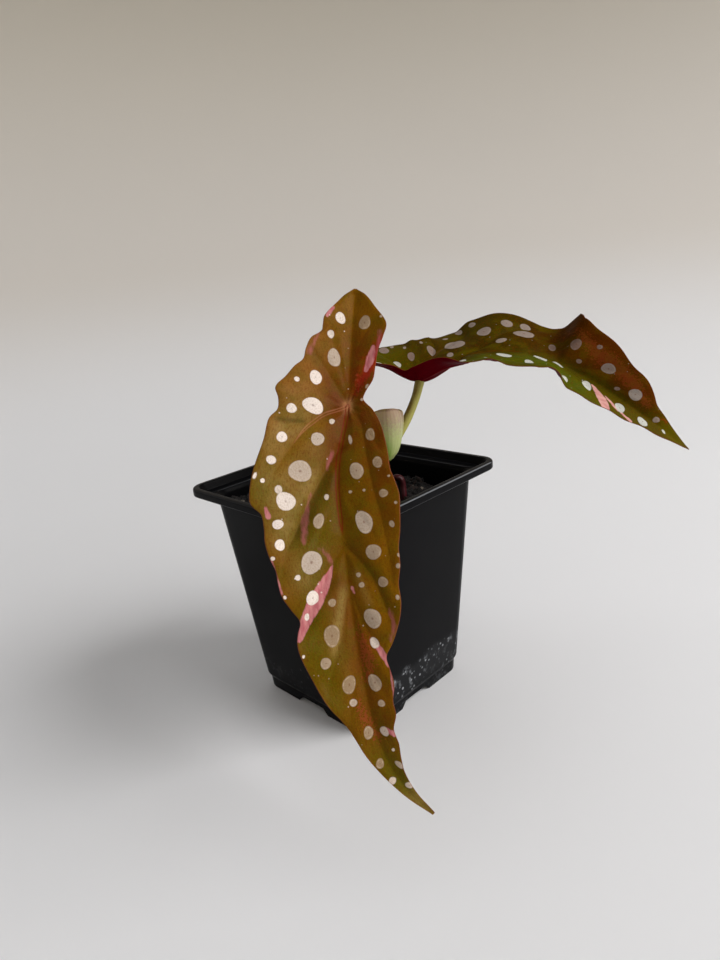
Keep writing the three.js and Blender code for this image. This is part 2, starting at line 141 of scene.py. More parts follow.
# The sheath round the upper node as [x, y, z, radius, half angle].
STIPULE = [
    [7, -16.6, 101, 4.1, 62], [8.1, -17.9, 104, 4.5, 74], [8.7, -18.1, 109, 5.4, 80],
    [9.1, -17.8, 115, 6.3, 74], [9.4, -17.4, 119, 6.6, 64], [9.5, -17.3, 120.4, 6.6, 46],
]
STIPULE_FACING = 228
STIPULE_CROWN = 1.2

# Blades, with rows as [along, wide, lift, narrow, lift]: along runs down the midrib from
# the end of the round lobe, through the stalk at 0, to the tip. Wide and narrow are the half
# widths, and each lift is that half's angle up from level. The margins have the same half
# widths in full detail, as (along, half width), with the shallow teeth and bays of the edge.
LEAF_FRONT = {
    "midrib": [
        [-10.5, -27, 166], [-20.8, -32.2, 146.2], [-30, -38.1, 131.8], [-44, -45, 113.6],
        [-53, -54.4, 93.6], [-60.5, -63.3, 72.6], [-66, -72.5, 51.1], [-66.3, -77, 40],
        [-64, -82.6, 29.7], [-60.3, -88, 22.4],
    ],
    "stalk_point": 2,
    "facing": [-0.55, -0.6, 0.55],
    "wide_side": -1,
    "dimple": [1, 7],
    "ripple": 0.6,
    "rows": [
        [-41, 0.7, 15, 0.7, 15], [-40, 2.6, 15, 2.8, 15], [-36, 5.8, 15, 7, 15],
        [-30, 9.1, 15, 10.3, 15], [-24, 12.3, 15, 10.8, 15], [-18, 14.8, 15, 9.7, 15],
        [-12, 17.6, 15, 8.8, 15], [-6, 20.6, 15, 5.9, 15], [0, 22.1, 15, 7.6, 15],
        [6, 22.3, 15, 11.2, 15], [12, 22.9, 15, 14.5, 15], [24, 25, 15, 16.9, 15],
        [30, 26.1, 15, 17.8, 15], [38, 24.7, 15, 18.2, 15], [48, 22.3, 15, 17.1, 15],
        [60, 19.6, 15, 15.2, 15], [72, 16.6, 15, 12.5, 15], [84, 13.4, 15, 8.6, 15],
        [96, 8.4, 15, 6.8, 15], [108, 4.2, 15, 4.4, 15], [120, 2, 15, 2.3, 15],
        [129.6, 0.5, 15, 0.5, 15],
    ],
    "wide_margin": [
        (-41, 0.4), (-38.5, 3.3), (-36, 5.3), (-30, 9.4), (-27, 9.9), (-25, 10.2), (-22, 13.3),
        (-17.5, 14.7), (-14, 15.4), (-11, 18.2), (-6.5, 20.8), (-1, 23.2), (3.5, 22),
        (7.5, 21.7), (11.5, 23.2), (17.5, 23.6), (25, 25.6), (31.5, 26.6), (33, 26),
        (34.8, 23.8), (38.5, 23.2), (43, 23.2), (48, 22.3), (51.5, 21), (55, 20.6), (59, 19.7),
        (62.5, 17.7), (66, 15.6), (69, 16.6), (72, 17.1), (76, 16.4), (81, 14.8), (86, 12.9),
        (90, 11), (94, 8.6), (98, 6.7), (105, 4.8), (113, 2.9), (121, 1.4), (129.6, 0.4),
    ],
    "narrow_margin": [
        (-41, 0.4), (-39, 3.5), (-34.5, 7.2), (-29, 11.3), (-24, 10.6), (-19, 9.2), (-13, 8.5),
        (-8, 7.7), (-4.2, 5.4), (-2, 5), (1.5, 8.4), (7, 11.8), (15.5, 15.2), (23.5, 16.5),
        (28, 17.8), (33, 18.7), (39, 18.1), (44, 17.4), (48.6, 16.3), (54, 15.9), (59, 14.9),
        (64, 14.8), (68.5, 13.8), (73.5, 11.8), (76.5, 10), (79.5, 7.9), (83, 8.2),
        (87.5, 8.5), (92, 7.2), (96, 7), (100, 5.3), (105, 5.2), (110, 3.8), (114, 2.6),
        (121, 1.6), (129.6, 0.4),
    ],
}
LEAF_SIDE = {
    "midrib": [
        [0, 10, 137], [7, 1, 138.5], [16, -10, 137], [26.5, -21.5, 134.5], [36, -29, 134.5],
        [46, -35.5, 136.5], [63.5, -49, 133.5], [76.5, -66, 122.5], [85, -85, 107.5],
        [97.5, -99.5, 91],
    ],
    "stalk_point": 3,
    "facing": [0, 0, 1],
    "wide_side": 1,
    "dimple": [6, 10],
    "ripple": 0.25,
    "rows": [
        [-41, 0.7, 6, 0.7, 5], [-40, 3.5, 6, 4, 5], [-36, 6.5, 6, 8, 6],
        [-30, 10.5, 8, 11, 8], [-24, 14.3, 8, 10.3, 6], [-18, 17, 9, 9.3, 5],
        [-12, 21.4, 11, 8.3, 7], [-5, 24, 13, 4.5, 17], [-2, 24.2, 15, 9, 26],
        [2, 24.5, 16, 11.5, 26], [6, 25.1, 17, 13, 19], [12, 25.2, 15, 15.9, 7],
        [24, 27.4, 11, 17.6, -4], [30, 27.8, 20, 18.9, -9], [38, 25.2, 32, 19, -12],
        [48, 23, 32, 17.6, -10], [52, 22.4, 32, 17, -9], [56, 21.4, 37, 16.2, -12],
        [58, 21.2, 46, 15.6, -15.5], [59, 21.6, 74, 15.4, -18], [60.5, 20, 86, 15.1, -22],
        [64, 18.6, 90, 14.6, -29], [72, 17, 92, 13, -34], [84, 12.8, 92, 9.5, -44],
        [96, 8.5, 84, 7, -46], [108, 4.4, 66, 4.4, -40], [118, 2, 40, 2.2, -30],
        [121.4, 0.5, 20, 0.5, -20],
    ],
    "wide_margin": [
        (-41, 0.4), (-39.5, 4), (-36, 6.8), (-31, 10.3), (-26, 12.6), (-22, 15.4), (-18, 16.8),
        (-14, 19.6), (-9, 22.8), (-4, 23.9), (0, 24.6), (5, 24.6), (10, 25.4), (17, 25.8),
        (24, 27.6), (29, 28), (33, 26.6), (38, 25.4), (44, 24), (48, 23), (52, 22.4), (55, 21.4),
        (57.6, 21.2), (58.5, 21.4), (59, 22), (59.6, 20.4), (61, 19.6), (64, 18.6), (70, 17.4),
        (76, 15.5), (80, 14), (84, 12.6), (88, 11.6), (92, 10.4), (96, 8.6), (100, 6.1),
        (107, 4.2), (114, 2.5), (121.4, 0.4),
    ],
    "narrow_margin": [
        (-41, 0.4), (-39.5, 4.5), (-35, 8.2), (-30, 11.3), (-25, 10.3), (-18, 9.5), (-12, 8.4),
        (-6, 5), (-3, 7.6), (2, 11.3), (8, 14.4), (14, 16), (20, 17.4), (25.5, 18.4), (29, 18),
        (33, 19.3), (37, 18.8), (42.5, 19.4), (45, 17.9), (48.5, 17.2), (52, 16.8), (57, 16.3),
        (63, 14.9), (69, 14), (75, 12), (80, 11.2), (86, 8.8), (92, 8), (98, 6), (106, 4.8),
        (114, 2.6), (121.4, 0.4),
    ],
}
LEAF_STEP = 0.45
HALF_COLUMNS = 50
RIPPLE_LENGTH = 15
FULL_WAVE_HALF = 12              # the waves are full where a half is this wide
FOLD_ROUNDING = 1.6              # the fold along the midrib is rounded over this half width
TOOTH_CURL = 0.4                 # teeth turn up and bays turn down by this share
SWELL = 0.14
FINE_SWELL = 0.04
WRINKLE = 0.1                    # wrinkles fan out from the stalk
SPOT_RISE = 0.05
STALK_KNOB = 0.5
RIB_DEPTH = 0.55
THIN_EDGE = 0.45                 # share of the thickness that is left at the margin

# Veins in the leaf's plan, as (crease depth, rib strength, colour, [(along, across), ...]).
# Across is counted from the midrib, positive on the wide side. Both leaves share them.
# A vein's colour shows on the upper face: "dark", "pale", or none.
VEINS = [
    (0.9, 1.0, None, [(-39, 0), (-30, 0), (-15, 0), (0, 0)]),
    (0.9, 1.0, "dark", [(0, 0), (20, 0), (40, 0), (50, 0)]),
    (1.0, 1.0, None, [(46, 0), (80, 0), (105, 0), (127, 0)]),
    (0.9, 1.0, "pale", [(0, 0), (2, 3), (5, 7), (9, 10), (12, 12), (18, 15), (26, 20), (32, 24)]),
    (0.3, 0.5, None, [(0, 0), (-1, 5), (-2, 8), (-2, 12), (0, 17), (3, 21)]),
    (1.2, 0.4, None, [(5, 7), (8, 10), (10, 14), (12, 18), (12, 22)]),
    (0.9, 0.5, None, [(0, 0), (-6, 4), (-12, 8), (-18, 13), (-20, 15)]),
    (0.5, 0.3, None, [(-5, 1), (-14, 3), (-24, 7), (-30, 9)]),
    (0.5, 0.5, None, [(0, 0), (-6, -2), (-10, -4), (-16, -6), (-22, -9)]),
    (0.4, 0.3, None, [(-16, 0), (-24, -4), (-31, -8)]),
    (1.9, 0.6, None, [(15, 0), (18, 1.4), (24, 4), (28, 6.2), (32, 8.8), (37, 11.8), (42, 14.6),
                      (46, 17), (54, 20)]),
    (0.3, 0.3, None, [(30, 0), (37, 4), (46, 9), (54, 14), (60, 18)]),
    (1.2, 0.5, None, [(46, 0), (51, 4), (56, 7), (62, 11), (68, 15), (72, 17)]),
    (0.8, 0.4, None, [(58, 0), (66, 2), (74, 5), (78, 7), (84, 10), (88, 12)]),
    (0.5, 0.3, None, [(74, 0), (84, 2.5), (92, 5.5), (98, 7.5)]),
    (0.4, 0.3, None, [(92, 0), (101, 2), (108, 4)]),
    (0.9, 0.6, None, [(0, -1), (6, -5), (15, -8), (24, -10), (38, -12), (52, -13), (66, -13)]),
    (0.5, 0.3, None, [(3, -3), (8, -7), (14, -12), (18, -15)]),
    (0.4, 0.3, None, [(26, 0), (33, -3), (41, -8), (48, -11), (54, -15)]),
    (1.2, 0.5, None, [(46, 0), (52, -5), (58, -8), (66, -10), (74, -11)]),
    (0.8, 0.4, None, [(58, 0), (66, -2), (72, -4), (78, -7), (84, -8)]),
    (0.5, 0.3, None, [(76, 0), (84, -3), (92, -6)]),
    (0.4, 0.3, None, [(94, 0), (102, -2), (109, -4)]),
]
CREASE_WIDTH = 2.0
RIB_HALF = 0.42
LINE_GAP = 0.5                   # a coloured vein is two thin lines this far from its middle
LINE_HALF = 0.36

# Silvery spots as (along, across, half length, half width, how silvery). How silvery also
# paints sheen and shade: high where the blade catches the light, low on its shaded parts.
# The long ones lean with the side veins by this angle, in radians.
SPOT_LEAN = 0.32
SPOTS_FRONT = [
    (-30, 4.2, 2, 1.6, 0.85), (-29, -4.1, 2.5, 1.8, 0.2), (-24, 7, 1.5, 1.1, 0.7),
    (-16, 5.3, 3.1, 2.1, 0.4), (-8, 11, 2.5, 2, 0.95), (-6, 17, 1, 0.9, 0.9),
    (3, 11, 2.8, 3.4, 1), (6, 17.4, 1.8, 1.6, 0.95), (7, 4.2, 1.1, 0.8, 0.55),
    (16, 18.3, 1.4, 1.6, 0.95), (14, 7.5, 2, 2.1, 0.45), (10, -8.8, 2, 1.5, 0),
    (12, -2.7, 1.7, 0.6, 0.4), (22, 20.5, 1, 1.5, 0.95), (24, 11.5, 2.9, 3.4, 0.42),
    (23, -6, 3.1, 2, 0.3), (20, -12.4, 2.3, 1.5, 0.2), (29, 18, 1, 1.2, 0.6),
    (32, 16, 2.3, 3, 0.75), (31, 3.5, 0.9, 0.7, 0.5), (32, -14, 1.5, 1.3, 0.2),
    (38, 19, 1.4, 1.6, 0.95), (38, 6.7, 2.3, 1.5, 0.3), (40, -7, 3.4, 2.5, 0.4),
    (42, -15.2, 1, 0.8, 0.3), (44, 19, 1.7, 1.5, 1), (49, -8.6, 2.3, 2.2, 0.3),
    (27, 22.7, 0.6, 0.7, 0.9), (26, 25, 0.9, 0.5, 0.9), (50, 10.3, 3.3, 3.1, 0.45),
    (54, 14.8, 0.8, 0.9, 0.7), (58, -10.3, 1.5, 1.5, 0.25), (55, -3.3, 0.7, 0.7, 0.3),
    (58, -3.9, 0.8, 0.8, 0.3), (60, 11, 2.1, 1.8, 1), (62, 5.5, 1.1, 1.2, 0.2),
    (65, 13.4, 1, 0.8, 0.95), (68, -5.8, 2.9, 2.4, 0.35), (71, 6.9, 3.1, 2.3, 0.15),
    (75, -5.1, 1.8, 1.2, 0.6), (78, 10, 1.6, 1.5, 0.25), (85, 4.4, 2.5, 2, 0.1),
    (86, -3.1, 2.4, 1.9, 0.3), (90, 4.2, 1, 1.2, 0.4), (92, -3.7, 1, 1, 0.3),
    (99, 2.1, 1.8, 1.4, 0.2), (100, -2.5, 1.6, 1.1, 0.5), (108, 2.3, 1.4, 1.2, 0.1),
    (111, -2.5, 1.5, 0.8, 0.4), (106, -3, 0.5, 0.5, 0.5), (114, 1.8, 1, 1.1, 0.5),
    (118, -1.4, 1.2, 0.9, 0.5), (54, -15.4, 0.8, 0.7, 0.3), (63, -14, 0.8, 0.6, 0.3),
    (75, 15.9, 0.5, 0.4, 0.9), (6, -12.5, 0.7, 0.5, 0.3), (30, -3.9, 0.5, 0.6, 0.3),
    (30, -8.1, 0.5, 0.5, 0.3), (-31, -9.5, 0.5, 0.5, 0.3), (-6, -6, 0.8, 0.5, 0.3),
    (-2, -4.5, 0.5, 0.5, 0.3), (48, 21.5, 0.6, 0.7, 0.9), (59, 19, 0.5, 0.5, 0.9),
    (51, -16, 0.7, 0.5, 0.3), (36, -17.3, 0.6, 0.5, 0.3), (26, -16, 0.5, 0.5, 0.3),
]
SPOTS_SIDE = [
    (-14, 14.7, 2, 3.4, 0.25), (-2, 11.9, 1.8, 2.3, 0.2), (9, 14, 2, 3.2, 0.25),
    (20, 13.2, 3.7, 4.2, 0.32), (32, 15.6, 2.4, 2.8, 0.32), (40, 18, 1.8, 2.2, 0.32),
    (46, 18, 1.7, 1.6, 0.32), (45, 12.4, 3.6, 2.4, 0.32), (55, 8.5, 1.4, 1.7, 0.2),
    (61, 9.3, 1.9, 2.3, 0.15), (69, 12.4, 1.1, 0.9, 0.15), (76, 6.9, 2.6, 2.1, 0.32),
    (90, 4.3, 2.6, 2.2, 0.4), (72, -4.6, 2.6, 2.3, 0.72), (88, -4.4, 2.3, 1.8, 0.72),
    (98, -3.6, 2.4, 1.8, 0.72), (103, 1.4, 1.4, 1.1, 0.3), (50, -2.6, 3, 2.4, 0.72),
    (58, -1.4, 2.4, 1.8, 0.72), (30, 24, 1.2, 1.8, 0.32), (25, 25, 1.4, 1.8, 0.32),
    (83, 2.3, 1.2, 0.7, 0.2), (6, 20.9, 1, 1.4, 0.32), (-5, 18.3, 0.8, 1.5, 0.32),
    (-11, 19.3, 0.8, 1.6, 0.3), (-22, 6, 2.2, 1.8, 0.6), (-30, 3, 1.8, 1.5, 0.6),
    (-27, -5, 2.3, 1.7, 0.72), (-16, -4, 1.8, 1.4, 0.72), (14, -6, 2.4, 2, 0.72),
    (24, -11, 2, 1.8, 0.72), (33, -6, 3, 2.3, 0.72), (42, -12, 2.2, 1.8, 0.72),
    (62, -9, 1.8, 1.6, 0.72), (15, 6, 1.6, 1.4, 0.32), (36, 7, 2.2, 1.6, 0.32),
    (-8, 6, 1.6, 1.3, 0.6), (65, 4, 1.1, 0.9, 0.2), (108, -1, 1, 0.8, 0.72),
    (20, 22, 1, 1, 0.32),
]

# Patches as lines of (along, across, half width): clear pink streaks, soft pink blushes,
# red flushes and reddish stippling.
PINK_FRONT = [
    [(51.4, 4, 0.3), (54, 5.4, 1.1), (58, 8, 2.0), (62, 11, 2.2), (66, 13.8, 1.7),
     (70, 16.5, 1.3)],
    [(74, -4, 0.4), (76, -5.6, 0.9), (79, -7.2, 1.0), (82, -8.2, 0.6)],
    [(82, -8.4, 0.3), (93, -7.6, 0.3)],
    [(49, 22, 0.6), (53, 21.4, 0.8), (58, 20, 0.5)],
    [(33.5, 22.2, 0.5), (35.5, 21.6, 0.9)],
    [(-20, -7.6, 0.8), (-16, -6.8, 1.5), (-12, -5.4, 0.8)],
    [(58.5, -1, 0.5), (60, -1.4, 0.3)],
    [(99.5, -3.2, 0.7), (101.5, -5, 0.9)],
    [(-33, 7.2, 0.8), (-30, 8.6, 0.6)],
]
BLUSH_FRONT = [
    [(30, 8.4, 0.3), (34, 9.4, 0.7), (38, 10.6, 1.0), (44, 12, 0.7)],
    [(16.5, 2.2, 0.5), (19, 2.6, 1.0), (22, 3.4, 0.5)],
    [(46, 7.4, 0.4), (48.5, 5.4, 0.6), (51, 4, 0.3)],
    [(-26, -9.5, 0.6), (-22, -9.4, 0.8), (-17, -8.4, 0.6)],
    [(66, -11, 0.5), (71, -11.5, 0.8), (75, -10.4, 0.5)],
    [(-24, 11, 0.5), (-16, 13.6, 0.7)],
]
RED_FRONT = [
    [(-24, -10, 1.0), (-18, -8.5, 2.2), (-12, -6, 2.4), (-7, -3.4, 1.4), (-4, -2, 0.4)],
]
STIPPLE_FRONT = [
    [(70, -1, 0.1), (75, -2.4, 1.5), (81, -2.6, 1.5), (85, -1, 0.5)],
    [(90, 3, 0.3), (95, 2, 1.2), (101, 0, 1.0)],
    [(-10, -3, 0.3), (-6, -3.4, 0.8)],
]
PINK_SIDE = [
    [(74, -2.6, 0.4), (77.5, -4.6, 1.2), (81, -7, 1.9), (83.5, -9.4, 1.9)],
    [(81, -4, 0.4), (84, -5, 0.7), (88, -6.4, 0.4)],
    [(89, -6, 0.5), (94, -7, 0.6)],
]
BLUSH_SIDE = [[(-24, -8, 0.3), (-18, -6, 0.7)]]
RED_SIDE = [[(104, 3, 0.1), (107, 3, 0.4)]]
STIPPLE_SIDE = [
    [(60, 14, 1.0), (70, 10, 3.0), (84, 8, 3.0), (96, 4, 1.6)],
]

# The main colour, then washes over it as (colour, along, across, reach along, reach across,
# strength). The tan and pale washes are mostly painted sheen where the blade faces the light.
WASHES_FRONT = [
    "olive",
    ("gold", -35, 0, 8, 8, 0.8), ("tan", -20, 11, 13, 6, 0.3), ("tan", -5, 16, 15, 7, 0.4),
    ("pale", 9, 14, 9, 7, 0.6), ("pale", 24, 19, 9, 4, 0.6), ("mahogany", -12, -3, 12, 3, 0.8),
    ("wine", -12, -12, 10, 4, 0.9), ("mahogany", 3, -4, 13, 4, 0.85),
    ("brown", -1, 4, 9, 4, 0.9), ("brown", 14, 2, 18, 2.5, 0.7),
    ("brown", 10, -12, 14, 5, 0.8), ("tan", 20, 22, 9, 4, 0.4), ("green", 29, 23, 7, 4, 0.7),
    ("brown", 26, -14, 14, 4, 0.4), ("pale", 27, 8, 8, 3, 0.4), ("pale", 35, 17, 12, 5, 0.6),
    ("green", 24, -4, 16, 4, 0.35), ("green", 37, 2, 8, 3, 0.5), ("green", 45, 9, 9, 5, 0.8),
    ("moss", 46, -4, 7, 3, 0.5), ("pale", 53, 12, 5, 4, 0.6), ("gold", 58, -11, 18, 4, 0.7),
    ("brown", 62, 4, 10, 4, 0.5), ("gold", 76, -8, 14, 4, 0.7), ("green", 71, 13, 12, 4, 0.8),
    ("pale", 72, 5, 8, 2, 0.3), ("brown", 78, -1, 9, 3, 0.6), ("green", 86, 9, 9, 4, 0.5),
    ("brown", 96, -1, 8, 6, 0.5), ("green", 118, 0, 15, 6, 0.95), ("pale", 124, 0, 5, 3, 0.6),
    ("node", 0, 0, 1.9, 1.3, 1.0),
]
WASHES_SIDE = [
    "shade",
    ("fresh", -26, 6, 14, 14, 0.8), ("green", -8, 12, 12, 10, 0.35),
    ("green", 28, 20, 14, 6, 0.3),
    ("rust", 70, 12, 15, 14, 1.0), ("rust", 88, 8, 20, 8, 1.0), ("moss", 78, 0, 26, 3, 0.9),
    ("fresh", 24, -12, 40, 6, 0.85), ("fresh", 52, -9, 14, 7, 0.9), ("fresh", 70, -9, 14, 6, 0.8),
    ("green", 90, -7, 14, 5, 0.8), ("green", 112, 0, 9, 5, 0.9), ("node", 0, 0, 1.2, 0.9, 1.0),
]

# Tones along the creases, as (colour, strength, half width, [(along, across), ...]). Most paint
# the creases' shading: moss and shade are painted shade on their shaded side, and pale is painted
# sheen on their lit side; gold, brown and green tint them.
SHADING_BANDS_FRONT = [
    ("moss", 0.8, 2.3, [(20, 0.6), (24, 2), (29, 4.4), (35, 8), (40, 11.4), (46, 14)]),
    ("pale", 0.6, 2.2, [(21, 5), (27, 9), (33, 13), (40, 17.4), (45, 19.6)]),
    ("gold", 0.6, 2.0, [(6, 4.6), (10, 8.6), (16, 12.8), (21, 16.4), (27, 20.4)]),
    ("pale", 0.5, 2.2, [(11, 17), (16, 20.5), (21, 23.4)]),
    ("moss", 0.6, 0.8, [(9, 11), (9.4, 14), (10.6, 18.6), (11.4, 22.6)]),
    ("brown", 0.5, 1.6, [(-3, 3), (-10, 8), (-17, 12), (-21, 13.6)]),
    ("moss", 0.5, 1.8, [(54, 1), (58, 6), (63, 9.6), (70, 13.6)]),
    ("pale", 0.8, 1.4, [(56, 1.2), (64, 3.2), (71, 5.6), (79, 8)]),
    ("pale", 0.3, 1.2, [(52, -2), (60, -4.4), (66, -6)]),
    ("moss", 0.5, 1.6, [(50, -3.6), (56, -8), (62, -10.6), (69, -12)]),
]
SHADING_BANDS_SIDE = [
    ("shade", 0.6, 2.0, [(16, 0), (27, 6), (40, 14), (52, 20)]),
    ("green", 0.5, 1.2, [(4, 1.6), (12, 3.6), (24, 4.6), (36, 4)]),
]

LEAF_FRONT |= {
    "spots": SPOTS_FRONT, "pink": PINK_FRONT, "blush": BLUSH_FRONT, "red": RED_FRONT,
    "stipple": STIPPLE_FRONT, "washes": WASHES_FRONT, "shading_bands": SHADING_BANDS_FRONT,
}
LEAF_SIDE |= {
    "spots": SPOTS_SIDE, "pink": PINK_SIDE, "blush": BLUSH_SIDE, "red": RED_SIDE,
    "stipple": STIPPLE_SIDE, "washes": WASHES_SIDE, "shading_bands": SHADING_BANDS_SIDE,
}

# The floor is flat near the pot and then rises gently all round, in metres.
FLAT_RADIUS = 0.32
BOWL_RADIUS = 2.9
BOWL_CURVE = 0.42
BOWL_SIDES = 96

# The soft lights as (place, width, tint), in metres, and the point that they are aimed at.
LIGHTS = {
    "key": ((0.66, -1.3, 0.95), 1.4, (1.0, 0.985, 0.97)),
    "fill": ((-1.1, -0.2, 0.9), 1.0, (1.0, 0.97, 0.94)),
    "top": ((0.1, 0.6, 1.7), 1.6, (0.97, 0.98, 1.0)),
}
LIT_POINT = (0, 0, 0.09)
ROOM_GREY = 0.8
ROOM_LIGHT = 0.25

# The camera's place in millimetres, the way it looks, its roll in degrees and its lens.
CAMERA_PLACE = (-175.3, -188.4, 174.6)
CAMERA_FORWARD = (0.6658, 0.6786, -0.3102)
CAMERA_ROLL = -5.58
CAMERA_LENS = 25.05
CAMERA_SENSOR = 36.0


def srgb(red, green, blue):
    """A display colour, 0 to 255 a channel, as the linear colour that Blender stores."""
    values = np.array([red, green, blue]) / 255
    return tuple(np.where(values > 0.04045, ((values + 0.055) / 1.055) ** 2.4, values / 12.92))


def colour_setting(name, description, colour):
    return FloatVectorProperty(name=name, description=description, subtype="COLOR", size=3,
                               min=0.0, max=1.0, default=srgb(*colour))


# ------------------------------------------------------------------ settings


class BegoniaPotSettings(bpy.types.PropertyGroup):
    plastic: colour_setting("Plastic", "Colour of the pot's plastic", (9, 9, 11))
    dust: colour_setting("Dust", "Colour of the dried splashes near its foot", (176, 180, 186))
    dust_height: FloatProperty(
        name="Dust height", description="How far up from the feet the splashes reach",
        default=0.021, min=0.0, max=0.09, unit="LENGTH")


class BegoniaSoilSettings(bpy.types.PropertyGroup):
    mix: colour_setting("Mix", "Colour of the damp potting mix", (14, 9, 7))
    bark: colour_setting("Bark", "Colour of the bark chips", (36, 20, 13))
    perlite: colour_setting("Perlite", "Colour of the perlite grains", (120, 112, 100))
    crumbs: IntProperty(name="Crumbs", description="Crumbs of mix on the surface",
                        default=1500, min=0, max=4000)
    chips: IntProperty(name="Chips", description="Bark chips on the surface",
                       default=150, min=0, max=600)
    grains: IntProperty(name="Grains", description="Perlite grains on the surface",
                        default=26, min=0, max=300)
    seed: IntProperty(name="Seed", description="Seed of their random places", default=7, min=0)


class BegoniaStalkSettings(bpy.types.PropertyGroup):
    cane: colour_setting("Cane", "Green of the cane", (112, 122, 52))
    stalk: colour_setting("Stalk", "Green of the leaf stalks", (172, 168, 88))
    # Blush goes on the cane's and stalks' side away from the key light, a brownish flush that
    # also paints that side's shade.
    blush: colour_setting("Blush", "Brownish red on the stalks' sunny side", (100, 68, 14))
    sheath: colour_setting("Sheath", "Pale green of the sheath", (168, 178, 116))
    sheath_edge: colour_setting("Sheath edge", "Colour of its drying top", (150, 122, 104))
    shoot: colour_setting("Shoot", "Dark red of the young shoot", (34, 3, 5))


class BegoniaLeafSettings(bpy.types.PropertyGroup):
    thickness: FloatProperty(name="Thickness", description="Thickness of a blade",
                             default=0.00055, min=0.0003, max=0.001, unit="LENGTH")
    crease: FloatProperty(name="Crease", description="Depth of the creases over the veins",
                          default=1.0, min=0.0, max=2.0, subtype="FACTOR")
    olive: colour_setting("Olive", "Main colour of the upper face", (110, 70, 2))
    green: colour_setting("Green", "Greener parts of the upper face", (82, 78, 2))
    brown: colour_setting("Brown", "Browner parts of the upper face", (96, 40, 2))
    gold: colour_setting("Gold", "Golden parts of the upper face", (126, 84, 4))
    # Tan and Pale are mostly painted sheen on the parts of the blade that face the light.
    tan: colour_setting("Tan", "Light tan parts near the round lobe's margin", (162, 108, 54))
    pale: colour_setting("Pale", "Pale greenish parts of the upper face", (142, 118, 60))
    mahogany: colour_setting("Mahogany", "Red-brown beside the stalk", (100, 30, 2))
    wine: colour_setting("Wine", "Darkest red behind the stalk", (70, 22, 2))
    # Moss is also the painted shade beside the creases, in the shading bands.
    moss: colour_setting("Moss", "Darkest green along the midrib", (54, 48, 2))
    shade: colour_setting("Shade", "Main colour of the side leaf", (48, 35, 0))
    fresh: colour_setting("Fresh", "Fresher green of the side leaf's near half", (66, 84, 12))
    rust: colour_setting("Rust", "Reddish brown towards the side leaf's tip", (84, 36, 2))
    # Silver is the spots in the light; Dull silver is partly their painted shade on the blade's
    # shaded parts.
    silver: colour_setting("Silver", "The polka dots", (232, 220, 212))
    shaded_dull_silver: colour_setting("Dull silver", "The less silvery dots", (146, 124, 98))
    pink: colour_setting("Pink", "The pink streaks", (172, 92, 98))
    red: colour_setting("Red", "The red flushes", (150, 30, 16))
    vein: colour_setting("Vein", "The midrib's thin lines", (106, 30, 8))
    rib: colour_setting("Rib", "The paler lines of the side veins", (196, 124, 92))
    node: colour_setting("Node", "Where the veins meet over the stalk", (196, 138, 96))
    burgundy: colour_setting("Burgundy", "The lower face", (88, 2, 12))


class BegoniaStageSettings(bpy.types.PropertyGroup):
    backdrop: colour_setting("Backdrop", "Colour of the floor near the pot", (227, 228, 231))
    key: FloatProperty(name="Key light", description="Power of the large soft light",
                       default=39.0, min=0.0, unit="POWER")
    fill: FloatProperty(name="Fill light", description="Power of the light from the left",
                        default=0.6, min=0.0, unit="POWER")
    top: FloatProperty(name="Top light", description="Power of the light above",
                       default=5.0, min=0.0, unit="POWER")


# ------------------------------------------------------------------ numbers and curves


def to_frame(points):
    """Places in millimetres from the pot's axis, as places in the frame."""
    return np.asarray(points, float) * MM + POT_AXIS


def even(low, high, step):
    """Places from low to high, both included, at most a step apart."""
    return np.linspace(low, high, math.ceil((high - low) / step) + 1)


def smooth(rows, places):
    """Values at each place on a smooth curve through rows of [place, value, value, ...]."""
    rows = np.asarray(rows, float)
    at = np.clip(np.asarray(places, float), rows[0, 0], rows[-1, 0])[:, None]
    last = len(rows) - 1
    i = np.clip(np.searchsorted(rows[:, 0], at[:, 0]) - 1, 0, last - 1)
    a, b = rows[i], rows[i + 1]
    before, after = rows[np.maximum(i - 1, 0)], rows[np.minimum(i + 2, last)]
    span = b[:, :1] - a[:, :1]
    t = (at - a[:, :1]) / span
    slope_a = (b[:, 1:] - before[:, 1:]) / (b[:, :1] - before[:, :1])
    slope_b = (after[:, 1:] - a[:, 1:]) / (after[:, :1] - a[:, :1])
    return ((2 * t**3 - 3 * t**2 + 1) * a[:, 1:] + (t**3 - 2 * t**2 + t) * span * slope_a
            + (3 * t**2 - 2 * t**3) * b[:, 1:] + (t**3 - t**2) * span * slope_b)


def with_distance(points, size, zero_at=0):
    """Rows with the distance along them put first, measured over the first size columns
    and counted from row zero_at."""
    points = np.asarray(points, float)
    steps = np.linalg.norm(np.diff(points[:, :size], axis=0), axis=1)
    distance = np.concatenate([[0], np.cumsum(steps)])
    return np.column_stack([distance - distance[zero_at], points])


def smoothstep(low, high, values):
    t = np.clip((values - low) / (high - low), 0, 1)
    return t * t * (3 - 2 * t)


def unit(vectors):
    return vectors / np.linalg.norm(vectors, axis=-1, keepdims=True)


